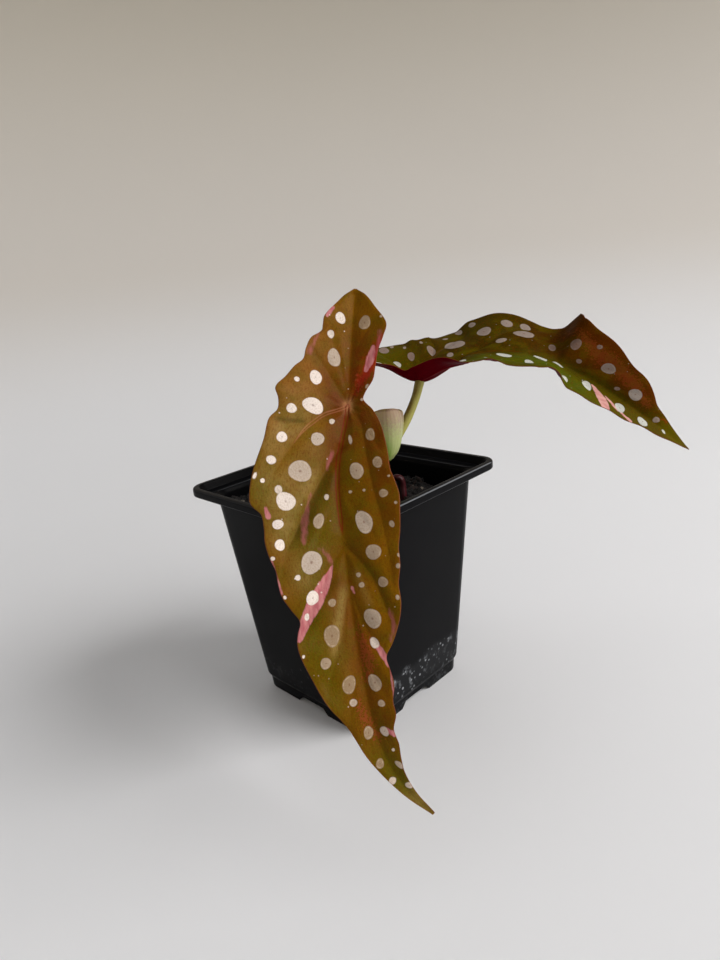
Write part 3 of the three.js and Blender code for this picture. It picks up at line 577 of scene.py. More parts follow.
def plan_distance(along, across, line):
    """Distance in the plan from each place to a line of (along, across, ...), with how far
    along the line the nearest place is, 0 to 1, and the line's third value there."""
    rows = with_distance(line, 2)
    fine = smooth(rows, even(0, rows[-1, 0], 1.5))
    best = np.full(along.shape, 1e9)
    progress = np.zeros(along.shape)
    value = np.zeros(along.shape)
    for k in range(len(fine) - 1):
        a, b = fine[k], fine[k + 1]
        step = b[:2] - a[:2]
        t = ((along - a[0]) * step[0] + (across - a[1]) * step[1]) / max(step @ step, 1e-9)
        t = np.clip(t, 0, 1)
        distance = np.hypot(along - a[0] - t * step[0], across - a[1] - t * step[1])
        nearer = distance < best
        best = np.where(nearer, distance, best)
        progress = np.where(nearer, (k + t) / (len(fine) - 1), progress)
        if len(a) > 2:
            value = np.where(nearer, a[2] + t * (b[2] - a[2]), value)
    return best, progress, value


# ------------------------------------------------------------------ meshes


def flipped(faces):
    return [tuple(reversed(f)) for f in faces]


def outward(vertices, faces):
    """The faces, turned round if they point into the body."""
    solid = [f if len(f) == 4 else (*f, f[-1]) for f in faces]
    corners = np.asarray(vertices, float)[np.asarray(solid)]
    first = np.einsum("ij,ij->i", corners[:, 0], np.cross(corners[:, 1], corners[:, 2]))
    second = np.einsum("ij,ij->i", corners[:, 0], np.cross(corners[:, 2], corners[:, 3]))
    return flipped(faces) if (first + second).sum() < 0 else faces


def make_mesh(name, vertices, faces):
    mesh = bpy.data.meshes.new(name)
    mesh.from_pydata(np.asarray(vertices).tolist(), [], faces)
    return mesh


def plain_object(name, data):
    made = bpy.data.objects.new(name, data)
    bpy.context.scene.collection.objects.link(made)
    return made


def plain_mesh(context, made):
    """An object's mesh with its modifiers carried out."""
    graph = context.evaluated_depsgraph_get()
    return bpy.data.meshes.new_from_object(made.evaluated_get(graph))


def make_piece(name, vertices, faces, finish, node=None):
    """A closed body, given in millimetres, that becomes a piece in the frame."""
    mesh = make_mesh(name, to_frame(vertices), outward(to_frame(vertices), faces))
    mesh.shade_smooth()
    return place_piece(name, mesh, finish, node)


def place_piece(name, mesh, finish, node=None):
    """A piece that rides on the object's one body, and may stand in for a node."""
    piece = plain_object(name, mesh)
    if finish is not None:
        mesh.materials.clear()
        mesh.materials.append(finish)
    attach(piece, "root")
    if node:
        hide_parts(node)
    return piece


def strips(rows, columns, start=0, closed=False):
    """Quads between rows of points laid out one after another."""
    quads = []
    for r in range(rows - 1):
        for c in range(columns if closed else columns - 1):
            n = (c + 1) % columns
            a, b = start + r * columns + c, start + r * columns + n
            quads.append((a, b, b + columns, a + columns))
    return quads


def skin(rings):
    """Vertices and faces of a body through rings of equal count, closed at both ends."""
    rings = np.asarray(rings, float)
    rows, columns = rings.shape[:2]
    vertices = np.vstack([rings.reshape(-1, 3), rings[0].mean(0), rings[-1].mean(0)])
    faces = strips(rows, columns, closed=True)
    foot, head = rows * columns, rows * columns + 1
    top = (rows - 1) * columns
    for c in range(columns):
        n = (c + 1) % columns
        faces.append((foot, n, c))
        faces.append((head, top + c, top + n))
    return vertices, faces


def slab(upper, lower):
    """Vertices and faces of a sheet between two grids of points, with an edge round it."""
    rows, columns = upper.shape[:2]
    vertices = np.vstack([upper.reshape(-1, 3), lower.reshape(-1, 3)])
    under = rows * columns
    faces = strips(rows, columns) + flipped(strips(rows, columns, under))
    border = list(range(columns - 1))
    border += [r * columns + columns - 1 for r in range(rows - 1)]
    border += [(rows - 1) * columns + c for c in range(columns - 1, 0, -1)]
    border += [r * columns for r in range(rows - 1, 0, -1)]
    for k, a in enumerate(border):
        b = border[(k + 1) % len(border)]
        faces.append((a, under + a, under + b, b))
    return vertices, faces


def store(piece, name, values, kind="FLOAT"):
    """Keeps a number, vector or colour for each vertex, for the piece's finish to read. The
    values of one face of a sheet serve its other face too."""
    field, width = {"FLOAT": ("value", 1), "FLOAT_VECTOR": ("vector", 3),
                    "FLOAT_COLOR": ("color", 4)}[kind]
    values = np.asarray(values, np.float32).ravel()
    sides = width * len(piece.data.vertices) // len(values)
    attribute = piece.data.attributes.new(name, kind, "POINT")
    attribute.data.foreach_set(field, np.tile(values, sides))


def rounded_square(half, radius, z, side_steps=SIDE_STEPS):
    """A level square with rounded corners, in millimetres, counter-clockwise from above."""
    points = []
    middle = half - radius
    for corner in range(4):
        turn = corner * math.pi / 2
        centre = middle * math.sqrt(2) * np.array(
            [math.cos(turn + math.pi / 4), math.sin(turn + math.pi / 4)])
        for angle in np.linspace(turn, turn + math.pi / 2, CORNER_STEPS + 1):
            points.append([*(centre + radius * np.array([math.cos(angle), math.sin(angle)])), z])
        start = np.array(points[-1])
        run = 2 * middle * np.array([-math.cos(turn), -math.sin(turn), 0])
        points += [list(start + run * k / side_steps) for k in range(1, side_steps)]
    return np.array(points)


# ------------------------------------------------------------------ finishes


def fill_socket(tree, socket, value):
    """Links an output to a socket, or sets the socket to a value."""
    if isinstance(value, bpy.types.NodeSocket):
        tree.links.new(value, socket)
    elif socket.type == "RGBA" and len(value) == 3:
        socket.default_value = (*value, 1)
    else:
        socket.default_value = value


def add_node(tree, kind, inputs=None, **settings):
    node = tree.nodes.new(kind)
    for key, value in settings.items():
        setattr(node, key, value)
    for key, value in (inputs or {}).items():
        fill_socket(tree, node.inputs[key], value)
    return node


class Finish:
    """A material whose node tree is put together with short calls."""

    def __init__(self, name):
        self.material = bpy.data.materials.new(name)
        self.material.use_nodes = True
        self.tree = self.material.node_tree
        self.shader = self.tree.nodes["Principled BSDF"]

    def add(self, kind, inputs=None, output=0, **settings):
        return add_node(self.tree, kind, inputs, **settings).outputs[output]

    def surface(self, **inputs):
        """Sets the shader's own sockets, named with _ for a space."""
        for key, value in inputs.items():
            fill_socket(self.tree, self.shader.inputs[key.replace("_", " ")], value)
        return self.material

    def place(self):
        return self.add("ShaderNodeTexCoord", output=3)

    def number(self, name):
        return self.add("ShaderNodeAttribute", attribute_name=name, output=2)

    def vector(self, name):
        return self.add("ShaderNodeAttribute", attribute_name=name, output=1)

    def painted(self, name):
        return self.add("ShaderNodeAttribute", attribute_name=name, output=0)

    def math(self, operation, a, b=0.0):
        return self.add("ShaderNodeMath", {0: a, 1: b}, operation=operation)

    def times(self, a, b):
        return self.math("MULTIPLY", a, b)

    def plus(self, a, b):
        return self.math("ADD", a, b)

    def minus(self, a, b):
        return self.math("SUBTRACT", a, b)

    def larger(self, a, b):
        return self.math("MAXIMUM", a, b)

    def size(self, a):
        return self.math("ABSOLUTE", a)

    def swing(self, pattern, reach):
        """A 0 to 1 pattern, as a shift of up to half the reach either way."""
        return self.times(self.minus(pattern, 0.5), reach)

    def mix(self, factor, a, b):
        return self.add("ShaderNodeMix", {0: factor, 6: a, 7: b}, 2, data_type="RGBA")

    def blend(self, factor, a, b):
        return self.add("ShaderNodeMix", {0: factor, 2: a, 3: b}, 0, data_type="FLOAT")

    def step(self, value, low, high, to_low=0.0, to_high=1.0):
        return self.add("ShaderNodeMapRange", {0: value, 1: low, 2: high, 3: to_low, 4: to_high},
                        interpolation_type="SMOOTHSTEP")

    def noise(self, where, scale, detail=2.0, roughness=0.5):
        return self.add("ShaderNodeTexNoise", {"Vector": where, "Scale": scale,
                                               "Detail": detail, "Roughness": roughness})

    def stretched(self, where, scale):
        return self.add("ShaderNodeMapping", {"Vector": where, "Scale": scale})

    def split(self, where, axis):
        return self.add("ShaderNodeSeparateXYZ", {0: where}, axis)

    def bump(self, height, strength, distance, normal=None):
        inputs = {"Height": height, "Strength": strength, "Distance": distance}
        if normal is not None:
            inputs["Normal"] = normal
        return self.add("ShaderNodeBump", inputs)


def plastic_finish(settings):
    """Satin black plastic, splashed with dust near the feet, with thin painted highlights, partly
    edge wear, along the rim's and the ledge's edges.
    """
    f = Finish("satin_black_plastic")
    where = f.place()
    x, y, z = (f.minus(f.split(where, axis), POT_AXIS[axis]) for axis in range(3))
    height = f.math("DIVIDE", f.plus(z, f.swing(f.noise(where, 70.0, 2.0), 0.008)),
                    settings.dust_height)
    band = f.times(f.step(height, 0.86, 1.02, 1.0, 0.0), f.step(height, 0.2, 0.5, 0.2, 1.0))
    front = f.step(y, -0.027, -0.03, 0.12, 1.0)
    patch = f.step(f.noise(where, 110.0, 2.0), 0.38, 0.6, 0.1, 1.0)
    smear = f.step(f.noise(f.stretched(where, (1, 1, 0.7)), 290.0, 3.0, 0.6), 0.54, 0.68)
    specks = f.add("ShaderNodeTexVoronoi", {"Vector": where, "Scale": 420.0})
    speck = f.step(f.plus(specks, f.times(f.noise(where, 500.0, 2.0), 0.5)), 0.5, 0.38)
    marks = f.larger(f.times(smear, 0.36), f.times(speck, 0.6))
    dusty = f.times(f.times(marks, patch), f.times(band, front))
    veil = f.times(f.times(band, front), 0.02)
    aside = f.larger(f.size(x), f.size(y))
    # Painted highlights, partly edge wear: a thin line on the rim's rounded outer top edge, one
    # on the band's lower edge and one on the ledge's inner edge.
    outer = f.step(aside, (RIM_HALF - 0.5) * MM, (RIM_HALF - 0.32) * MM)
    lip = f.times(outer, f.step(z, (RIM_TOP - 0.52) * MM, (RIM_TOP - 0.34) * MM))
    foot = f.step(f.size(f.minus(z, (RIM_TOP - RIM_BAND + 0.3) * MM)), 0.0, EDGE_HIGHLIGHT_WIDTH * MM,
                  0.3, 0.0)
    ledge = f.step(f.size(f.minus(aside, LEDGE_HALF * MM)), 0.0, EDGE_HIGHLIGHT_WIDTH * MM, 0.09, 0.0)
    ledge = f.times(ledge, f.step(z, (LEDGE_TOP - 0.7) * MM, (LEDGE_TOP - 0.2) * MM))
    # The rim's painted highlights are strongest on the -y side, which faces the key light.
    rim_highlight = f.times(f.larger(lip, f.times(foot, outer)), f.step(y, 0.0, -0.04, 0.05, 0.3))
    # The share of the dust colour: the dust film and splashes, and the painted highlights.
    light = f.plus(veil, f.larger(f.larger(rim_highlight, ledge), dusty))
    rough = f.blend(f.math("MINIMUM", f.times(dusty, 2.0), 1.0),
                    f.step(f.noise(where, 45.0, 4.0), 0.2, 0.8, 0.28, 0.38), 0.85)
    return f.surface(Base_Color=f.mix(light, settings.plastic, settings.dust), Roughness=rough,
                     Normal=f.bump(f.noise(where, 2600.0, 2.0), 0.1, 0.0002), IOR=PLASTIC_IOR)


def soil_finish(name, colour, light, scale, rough):
    """Matt crumbly stuff whose colour varies about one tone."""
    f = Finish(name)
    where = f.place()
    tone = f.noise(where, scale, 5.0, 0.65)
    dark = tuple(0.35 * c for c in colour)
    bright = tuple(min(1.0, light * c) for c in colour)
    base = f.mix(f.step(tone, 0.3, 0.72), dark, bright)
    return f.surface(Base_Color=base, Roughness=rough,
                     Normal=f.bump(f.noise(where, scale * 4, 4.0, 0.7), 0.8, 0.0006))


def stalk_finish(name, colour, blush, painted_shading, flecks):
    """Smooth fleshy skin with pale flecks, flushed on one side: a flush that also paints the
    shade on that side of the cane and stalks, and a highlight on the shoot's.
    """
    f = Finish(name)
    where = f.place()
    # The flush is painted on the side that the given direction picks: painted shade on the cane
    # and stalks, a painted highlight on the shoot.
    lit = f.step(f.number("flush"), 0.3, 0.75)
    patchy = f.step(f.noise(f.stretched(where, (1, 1, 0.3)), 260.0, 3.0), 0.3, 0.7, 0.55, 1.0)
    base = f.mix(f.times(f.times(lit, patchy), painted_shading), colour, blush)
    fleck = f.step(f.noise(f.stretched(where, (1, 1, 0.22)), 1500.0, 1.0), 0.66, 0.74)
    base = f.mix(f.times(fleck, flecks), base, tuple(min(1, 1.9 * c) for c in colour))
    grain = f.bump(f.noise(f.stretched(where, (1, 1, 0.12)), 1800.0, 2.0), 0.25, 0.0003)
    return f.surface(Base_Color=base, Roughness=0.42, Normal=grain, IOR=STALK_IOR,
                     Subsurface_Weight=0.15, Subsurface_Radius=(0.002, 0.0016, 0.0006),
                     Subsurface_Scale=0.4)


def sheath_finish(settings):
    """Thin papery sheath, greener low down and drying to pink brown along its top."""
    f = Finish("papery_sheath")
    where = f.place()
    height = f.number("height")
    plan = f.vector("plan")
    fibres = f.noise(f.stretched(plan, (5.0, 0.5, 1.0)), 4.0, 4.0)
    speckle = f.noise(where, 1400.0, 3.0, 0.7)
    drift = f.plus(height, f.swing(speckle, 0.7))
    leaning = f.plus(height, f.step(f.split(plan, 0), -0.3, 0.8, 0.0, 0.6))
    low = f.mix(f.step(leaning, 0.15, 0.75), srgb(112, 148, 40), settings.sheath)
    mid = f.mix(f.step(drift, 0.35, 0.95), low, settings.sheath_edge)
    brown = f.mix(f.step(height, 0.94, 0.99), mid, srgb(104, 62, 50))
    base = f.mix(f.step(fibres, 0.4, 0.75, 0.0, 0.12), brown, srgb(205, 205, 160))
    fine = f.bump(speckle, 0.25, 0.0003)
    return f.surface(Base_Color=base, Roughness=0.5, Normal=fine, Subsurface_Weight=0.3,
                     Subsurface_Radius=(0.003, 0.003, 0.001), Subsurface_Scale=0.5)


def leaf_finish(name, settings, tones):
    """Waxy blade: washed olive with silvery spots, pink streaks and a burgundy back."""
    f = Finish(name)
    plan = f.vector("plan")
    cloud = f.noise(plan, 0.16, 4.0, 0.6)
    mottle = f.noise(f.stretched(plan, (0.7, 1.6, 1.0)), 1.1, 3.0, 0.6)
    cells = f.add("ShaderNodeTexVoronoi", {"Vector": plan, "Scale": 0.85},
                  feature="DISTANCE_TO_EDGE")
    base = f.painted("wash")
    base = f.mix(f.step(cloud, 0.42, 0.66, 0.0, 0.4), base, settings.green)
    base = f.mix(f.step(mottle, 0.45, 0.72, 0.0, 0.5), base, settings.brown)
    fine = f.noise(plan, 2.2, 3.0, 0.7)
    base = f.mix(f.step(fine, 0.5, 0.34, 0.0, 0.35), base, settings.moss)
    base = f.mix(f.step(fine, 0.52, 0.72, 0.0, 0.3), base, settings.gold)
    base = f.mix(f.step(cells, 0.0, 0.07, 0.12, 0.0), base, settings.gold)

    for line, colour, strength in (("dark_line", settings.vein, tones["lines"]),
                                   ("pale_line", settings.rib, 0.35 * tones["lines"])):
        near = f.step(f.number(line), 0.5, 1.7, 0.35 * strength, 0.0)
        base = f.mix(near, base, settings.brown)
        aside = f.size(f.minus(f.number(line), LINE_GAP))
        base = f.mix(f.step(aside, 0.0, LINE_HALF, strength, 0.0), base, colour)

    grit = f.noise(f.stretched(plan, (0.5, 1.0, 1.0)), 2.0, 3.0, 0.7)
    ragged = f.swing(grit, 3.2)
    torn = f.minus(f.noise(f.stretched(plan, (0.35, 1.0, 1.0)), 0.9, 3.0, 0.55), 0.5)
    reds = f.plus(f.number("red"), f.plus(f.times(ragged, 1.8), f.times(torn, 5.0)))
    flush = f.step(reds, -0.8, 1.8)
    base = f.mix(f.times(flush, 0.75), base, settings.red)
    grains = f.swing(f.noise(plan, 1.1, 3.0, 0.65), 14.0)
    stipple = f.step(f.plus(f.number("stipple"), grains), 0.0, 0.8)
    base = f.mix(f.times(stipple, tones["stipple"]), base, srgb(140, 60, 32))
    blush = f.step(f.plus(f.number("blush"), f.times(torn, 3.0)), -0.5, 1.0)
    base = f.mix(f.times(blush, 0.5), base, settings.pink)
    pink = f.step(f.plus(f.number("pink"), f.times(torn, 0.9)), -0.15, 0.3)
    streak = f.mix(f.step(torn, -0.2, 0.14), tones["pink"], tones["light_pink"])
    base = f.mix(pink, base, streak)

    dots = f.add("ShaderNodeTexVoronoi", {"Vector": plan, "Scale": 0.3, "Randomness": 1.0})
    chosen = f.step(f.noise(plan, 0.22, 1.0), 0.46, 0.52)
    dot = f.times(f.step(dots, 0.085, 0.06), chosen)
    wobble = f.swing(f.noise(plan, 1.0, 2.0), 0.2)
    spot = f.step(f.plus(f.number("spot"), wobble), -0.1, 0.14)
    glitter = f.noise(plan, 1.9, 4.0, 0.75)
    heart = f.step(f.number("heart"), 0.8, 0.92)
    # Less silvery spots take the duller tone, partly painted shade on the blade's shaded parts.
    face = f.mix(f.step(f.number("silver"), 0.1, 0.9), tones["shaded_dull"], tones["silver"])
    face = f.mix(f.step(glitter, 0.34, 0.56, 0.3, 0.0), face, settings.gold)
    rim = f.times(f.step(f.number("spot"), 0.1, 0.3), f.step(f.number("spot"), 0.6, 0.3))
    worn = f.step(f.noise(plan, 0.8, 2.0), 0.4, 0.62, 0.0, 0.3)
    face = f.mix(f.times(rim, worn), face, tones["rim"])
    face = f.mix(f.times(heart, 0.5), face, settings.brown)
    dotted = f.larger(spot, f.times(dot, 0.8))
    upper = f.mix(dotted, base, face)

    margin = f.step(f.plus(f.number("edge"), f.times(ragged, 0.2)), 0.0, 0.34, 0.4, 0.0)
    upper = f.mix(margin, upper, srgb(146, 70, 50))

    lower = f.mix(f.step(mottle, 0.3, 0.7, 0.0, 0.35), settings.burgundy, srgb(60, 4, 16))
    lower = f.mix(f.step(f.number("rib"), 0.2, 0.9, 0.0, 0.7), lower, srgb(150, 60, 50))
    lower = f.mix(f.times(spot, 0.25), lower, srgb(150, 40, 60))
    rough = f.blend(dotted, f.step(cloud, 0.3, 0.7, 0.4, 0.52), 0.5)
    pits = f.bump(f.step(cells, 0.0, 0.3), 0.12, 0.0002)
    grain = f.bump(f.plus(glitter, mottle), 0.08, 0.0003, pits)
    return f.surface(Base_Color=f.mix(f.number("under"), upper, lower), Roughness=rough,
                     Normal=grain, IOR=tones["gloss"])


# ------------------------------------------------------------------ pot


def rounded_levels(levels):
    """A profile's levels with each corner turned into an arc of its own size."""
    levels = np.asarray(levels, float)
    points = [levels[0, :3]]
    for before, here, after in zip(levels[:-2], levels[1:-1], levels[2:]):
        back, on = before[:3] - here[:3], after[:3] - here[:3]
        reach = min(here[3], 0.45 * np.linalg.norm(back), 0.45 * np.linalg.norm(on))
        start, end = here[:3] + unit(back) * reach, here[:3] + unit(on) * reach
        for t in np.linspace(0, 1, 5):
            points.append((1 - t) ** 2 * start + 2 * t * (1 - t) * here[:3] + t**2 * end)
    points.append(levels[-1, :3])
    return points


def wall_inside(z, clearance=0.0):
    """Half side and corner radius of the wall's inside at a height."""
    t = (z - WALL_FOOT[2]) / (WALL_TOP[2] - WALL_FOOT[2])
    half = WALL_FOOT[0] + t * (WALL_TOP[0] - WALL_FOOT[0])
    radius = WALL_FOOT[1] + t * (WALL_TOP[1] - WALL_FOOT[1])
    return [half - WALL - clearance, radius - WALL - clearance, z]


def solid_object(name, body):
    vertices, faces = body
    return plain_object(name, make_mesh(name, to_frame(vertices), outward(vertices, faces)))


def arch_cutter(quarter):
    """A tapered bar that cuts the low arch through two opposite sides."""
    shape = np.array([[-ARCH_FOOT_HALF, -1], [ARCH_FOOT_HALF, -1], [ARCH_FOOT_HALF, 0],
                      [ARCH_CROWN_HALF, ARCH_HEIGHT], [-ARCH_CROWN_HALF, ARCH_HEIGHT],
                      [-ARCH_FOOT_HALF, 0]])
    rings = []
    for y in (-RIM_HALF, RIM_HALF):
        ring = np.column_stack([shape[:, 0], np.full(len(shape), y), shape[:, 1]])
        rings.append(ring if quarter == 0 else ring[:, [1, 0, 2]])
    return skin(rings if quarter == 0 else rings[::-1])


def drain_cutter(x, y):
    angles = np.linspace(0, 2 * math.pi, DRAIN_SIDES, endpoint=False)
    ring = np.column_stack([x + DRAIN_RADIUS * np.cos(angles), y + DRAIN_RADIUS * np.sin(angles)])
    levels = [FLOOR_UNDER - 2, FLOOR_TOP + 2]
    return skin([np.column_stack([ring, np.full(DRAIN_SIDES, z)]) for z in levels])


class BEGONIA_OT_pot(bpy.types.Operator):
    """Build the square black nursery pot"""

    bl_idname = "begonia.pot"
    bl_label = "Pot"

    def execute(self, context):
        inside = [[*wall_inside(FLOOR_CORNER_Z), 1.0],
                  [FLOOR_HALF, FLOOR_RADIUS, FLOOR_TOP, 0.8], [*FLOOR_MIDDLE, FLOOR_TOP, 0]]
        levels = rounded_levels([[*FLOOR_MIDDLE, FLOOR_UNDER, 0], *OUTSIDE, *inside])
        rings = [rounded_square(half, radius, z) for half, radius, z in levels]
        body = solid_object("pot_shell", skin(rings))
        cutters = [arch_cutter(0), arch_cutter(1)]
        holes = (-DRAIN_REACH, 0, DRAIN_REACH)
        cutters += [drain_cutter(x, y) for x in holes for y in holes]
        tools = []
        for k, cutter in enumerate(cutters):
            tool = solid_object(f"cutter_{k}", cutter)
            cut = body.modifiers.new(f"cut_{k}", "BOOLEAN")
            cut.operation = "DIFFERENCE"
            cut.solver = "EXACT"
            cut.object = tool
            tools.append(tool)
        mesh = plain_mesh(context, body)
        for tool in [*tools, body]:
            bpy.data.objects.remove(tool)
        mesh.shade_smooth()
        mesh.set_sharp_from_angle(angle=math.radians(SHARP_ANGLE))
        finish = plastic_finish(context.scene.begonia_pot)
        place_piece("pot_body", mesh, finish, "pot")
        return {"FINISHED"}


# ------------------------------------------------------------------ potting mix


def soil_lift(x, y):
    """Height of the potting mix above its level."""
    lumps = (np.sin(x * 0.31 + 1) * np.cos(y * 0.27) + np.sin((x + y) * 0.19 + 2)
             + 0.6 * np.sin(x * 0.62 - y * 0.5))
    crumb = (0.22 * np.sin(1.9 * x + 0.6) * np.cos(1.7 * y) + 0.16 * np.sin(3.1 * x - 2.3 * y)
             + 0.12 * np.sin(4.3 * y + 1.1 * x + 2))
    return -SOIL_SLOPE * (x - y) + SOIL_LUMP * lumps + crumb


def scatter_tree(name, finish, stretch):
    """A node tree that scatters lumps over a surface, then makes one mesh of them."""
    tree = bpy.data.node_groups.new(name, "GeometryNodeTree")
    face = tree.interface
    face.new_socket("Geometry", in_out="INPUT", socket_type="NodeSocketGeometry")
    ids = {}
    for label, kind in (("Count", "NodeSocketFloat"), ("Smallest", "NodeSocketFloat"),
                        ("Largest", "NodeSocketFloat"), ("Seed", "NodeSocketInt")):
        ids[label] = face.new_socket(label, in_out="INPUT", socket_type=kind).identifier
    face.new_socket("Geometry", in_out="OUTPUT", socket_type="NodeSocketGeometry")

    def add(kind, inputs=None, **settings):
        return add_node(tree, kind, inputs, **settings)

    given = add("NodeGroupInput")
    points = add("GeometryNodeDistributePointsOnFaces",
                 {"Mesh": given.outputs["Geometry"], "Density": given.outputs["Count"],
                  "Seed": given.outputs["Seed"]})
    lump = add("GeometryNodeMeshIcoSphere", {"Radius": 1.0, "Subdivisions": LUMP_DETAIL})
    rough = add("ShaderNodeTexNoise", {"Scale": 1.3, "Detail": 1.0}, noise_dimensions="3D")
    centred = add("ShaderNodeVectorMath", {0: rough.outputs["Color"], 1: (0.5, 0.5, 0.5)},
                  operation="SUBTRACT")
    pushed = add("ShaderNodeVectorMath", {0: centred.outputs[0], "Scale": 1.5},
                 operation="SCALE")
    shaped = add("GeometryNodeSetPosition",
                 {"Geometry": lump.outputs["Mesh"], "Offset": pushed.outputs[0]})
    drawn = add("GeometryNodeTransform", {"Geometry": shaped.outputs[0], "Scale": stretch})
    turn = add("FunctionNodeRandomValue", {1: (6.28, 6.28, 6.28)}, data_type="FLOAT_VECTOR")
    size = add("FunctionNodeRandomValue",
               {2: given.outputs["Smallest"], 3: given.outputs["Largest"]}, data_type="FLOAT")
    put = add("GeometryNodeInstanceOnPoints",
              {"Points": points.outputs["Points"], "Instance": drawn.outputs[0],
               "Rotation": turn.outputs[0], "Scale": size.outputs[1]})
    real = add("GeometryNodeRealizeInstances", {"Geometry": put.outputs[0]})
    done = add("GeometryNodeSetMaterial", {"Geometry": real.outputs[0], "Material": finish})
    add("NodeGroupOutput", {0: done.outputs[0]})
    return tree, ids


def scatter(context, name, ground, finish, count, sizes, seed, stretch):
    """Scatters lumps over the ground mesh and keeps them as one plain mesh."""
    tree, ids = scatter_tree(name, finish, stretch)
    bed = plain_object(name + "_bed", ground)
    modifier = bed.modifiers.new("scatter", "NODES")
    modifier.node_group = tree
    area = sum(p.area for p in ground.polygons)
    modifier[ids["Count"]] = count / area
    modifier[ids["Smallest"]] = sizes[0] * MM
    modifier[ids["Largest"]] = sizes[1] * MM
    modifier[ids["Seed"]] = seed
    mesh = plain_mesh(context, bed)
    bpy.data.objects.remove(bed)
    mesh.shade_smooth()
    place_piece(name, mesh, None)


class BEGONIA_OT_soil(bpy.types.Operator):
    """Fill the pot with potting mix and scatter crumbs, bark and perlite over it"""

    bl_idname = "begonia.soil"
    bl_label = "Potting mix"

    def execute(self, context):
        settings = context.scene.begonia_soil
        mix = soil_finish("damp_mix", settings.mix, 1.6, 900.0, 0.9)
        shoulder = SOIL_LEVEL - SOIL_SHOULDER
        rings = [rounded_square(FLOOR_HALF - SOIL_GAP, FLOOR_RADIUS - SOIL_GAP,
                                FLOOR_TOP + SOIL_GAP),
                 rounded_square(*wall_inside(FLOOR_CORNER_Z, SOIL_GAP)),
                 rounded_square(*wall_inside(shoulder, SOIL_GAP))]
        top = []
        for share in np.linspace(1, 0.02, SOIL_RINGS):
            ring = rings[2] * [share, share, 1]
            drop = SOIL_EDGE_DROP * smoothstep(0.93, 1.0, share)
            ring[:, 2] = SOIL_LEVEL - drop + soil_lift(ring[:, 0], ring[:, 1])
            top.append(ring)
        vertices, faces = skin([*rings, *top])
        make_piece("soil_bed", vertices, faces, mix, "soil")

        reach = OPEN_SHARE * abs(rings[2][:, 0]).max()
        open_top = [ring for ring in top if abs(ring[:, 0]).max() < reach]
        ground = make_mesh("open_top", to_frame(np.vstack(open_top)),
                           strips(len(open_top), len(open_top[0]), closed=True))
        bark = soil_finish("bark_chips", settings.bark, 1.5, 700.0, 0.85)
        perlite = soil_finish("perlite_grains", settings.perlite, 1.2, 600.0, 0.9)
        for k, (name, finish, count, sizes, stretch) in enumerate((
                ("soil_crumbs", mix, settings.crumbs, (0.35, 1.25), (1.0, 0.9, 0.75)),
                ("soil_bark", bark, settings.chips, (0.7, 2.1), (1.5, 0.8, 0.35)),
                ("soil_perlite", perlite, settings.grains, (0.4, 0.95), (1.0, 0.9, 0.8)))):
            scatter(context, name, ground, finish, count, sizes, settings.seed + k, stretch)
        return {"FINISHED"}


# ------------------------------------------------------------------ stalks


def stalk_rings(points, swell=None, groove=0.0):
    """Rings round a stalk, faintly ridged, with an optional swelling and groove."""
    rows = with_distance(points, 3)
    s = even(0, rows[-1, 0], STALK_STEP)
    values = smooth(rows, s)
    ahead = smooth(rows, np.minimum(s + 0.5, rows[-1, 0]))[:, :3]
    behind = smooth(rows, np.maximum(s - 0.5, 0))[:, :3]
    along = unit(ahead - behind)
    side = np.array([1.0, 0, 0])
    angles = np.linspace(0, 2 * math.pi, STALK_SIDES, endpoint=False)
    rings = []
    for k, axis in enumerate(along):
        side = unit(side - axis * (side @ axis))
        across = np.cross(axis, side)
        ridged = 1 + 0.012 * np.cos(7 * angles + 0.05 * s[k])
        hollow = 1 - groove * np.exp(-((angles - math.pi / 2) / 0.35) ** 2)
        radius = values[k, 3] * ridged * hollow
        if swell is not None:
            radius = radius + swell(s[k])
        rings.append(values[k, :3] + np.outer(radius * np.cos(angles), side)
                     + np.outer(radius * np.sin(angles), across))
    return np.array(rings)


def rounded_end(rings, reach=0.9):
    """Adds a few shrinking rings past the last one, so that the end is domed."""
    last, before = rings[-1], rings[-2]
    centre = last.mean(0)
    ahead = unit(centre - before.mean(0))
    radius = np.linalg.norm(last - centre, axis=1).mean() * reach
    extra = []
    for t in (0.35, 0.65, 0.85, 0.96):
        extra.append(centre + (last - centre) * math.sqrt(1 - t * t) + ahead * radius * t)
    return np.concatenate([rings, extra])


def stalk_piece(name, rings, finish, node, painted_shading):
    """A stalk's mesh, with how much each point of it faces the side where its shading is painted.
    """
    vertices, faces = skin(rings)
    piece = make_piece(name, vertices, faces, finish, node)
    normals = np.array([v.normal for v in piece.data.vertices])
    store(piece, "flush", 0.5 + 0.5 * normals @ unit(np.array(painted_shading, float)))


class BEGONIA_OT_cane(bpy.types.Operator):
    """Build the short upright cane with its two ringed nodes"""

    bl_idname = "begonia.cane"
    bl_label = "Cane"

    def execute(self, context):
        settings = context.scene.begonia_stalks

        def swell(s):
            rings = 0.0
            for node in STEM_NODES:
                rings += 0.28 * math.exp(-((s - node + 1.6) / 0.35) ** 2)
                rings -= 0.16 * math.exp(-((s - node + 0.8) / 0.3) ** 2)
                rings += 0.2 * math.exp(-((s - node + 0.1) / 0.4) ** 2)
            return rings

        # The flush darkens the cane's side away from the key light, partly painted shade.
        finish = stalk_finish("green_cane", settings.cane, settings.blush, 0.8, 0.6)
        stalk_piece("cane", rounded_end(stalk_rings(STEM, swell)), finish, "stem",
                    (-0.6, 0.5, 0.2))
        return {"FINISHED"}


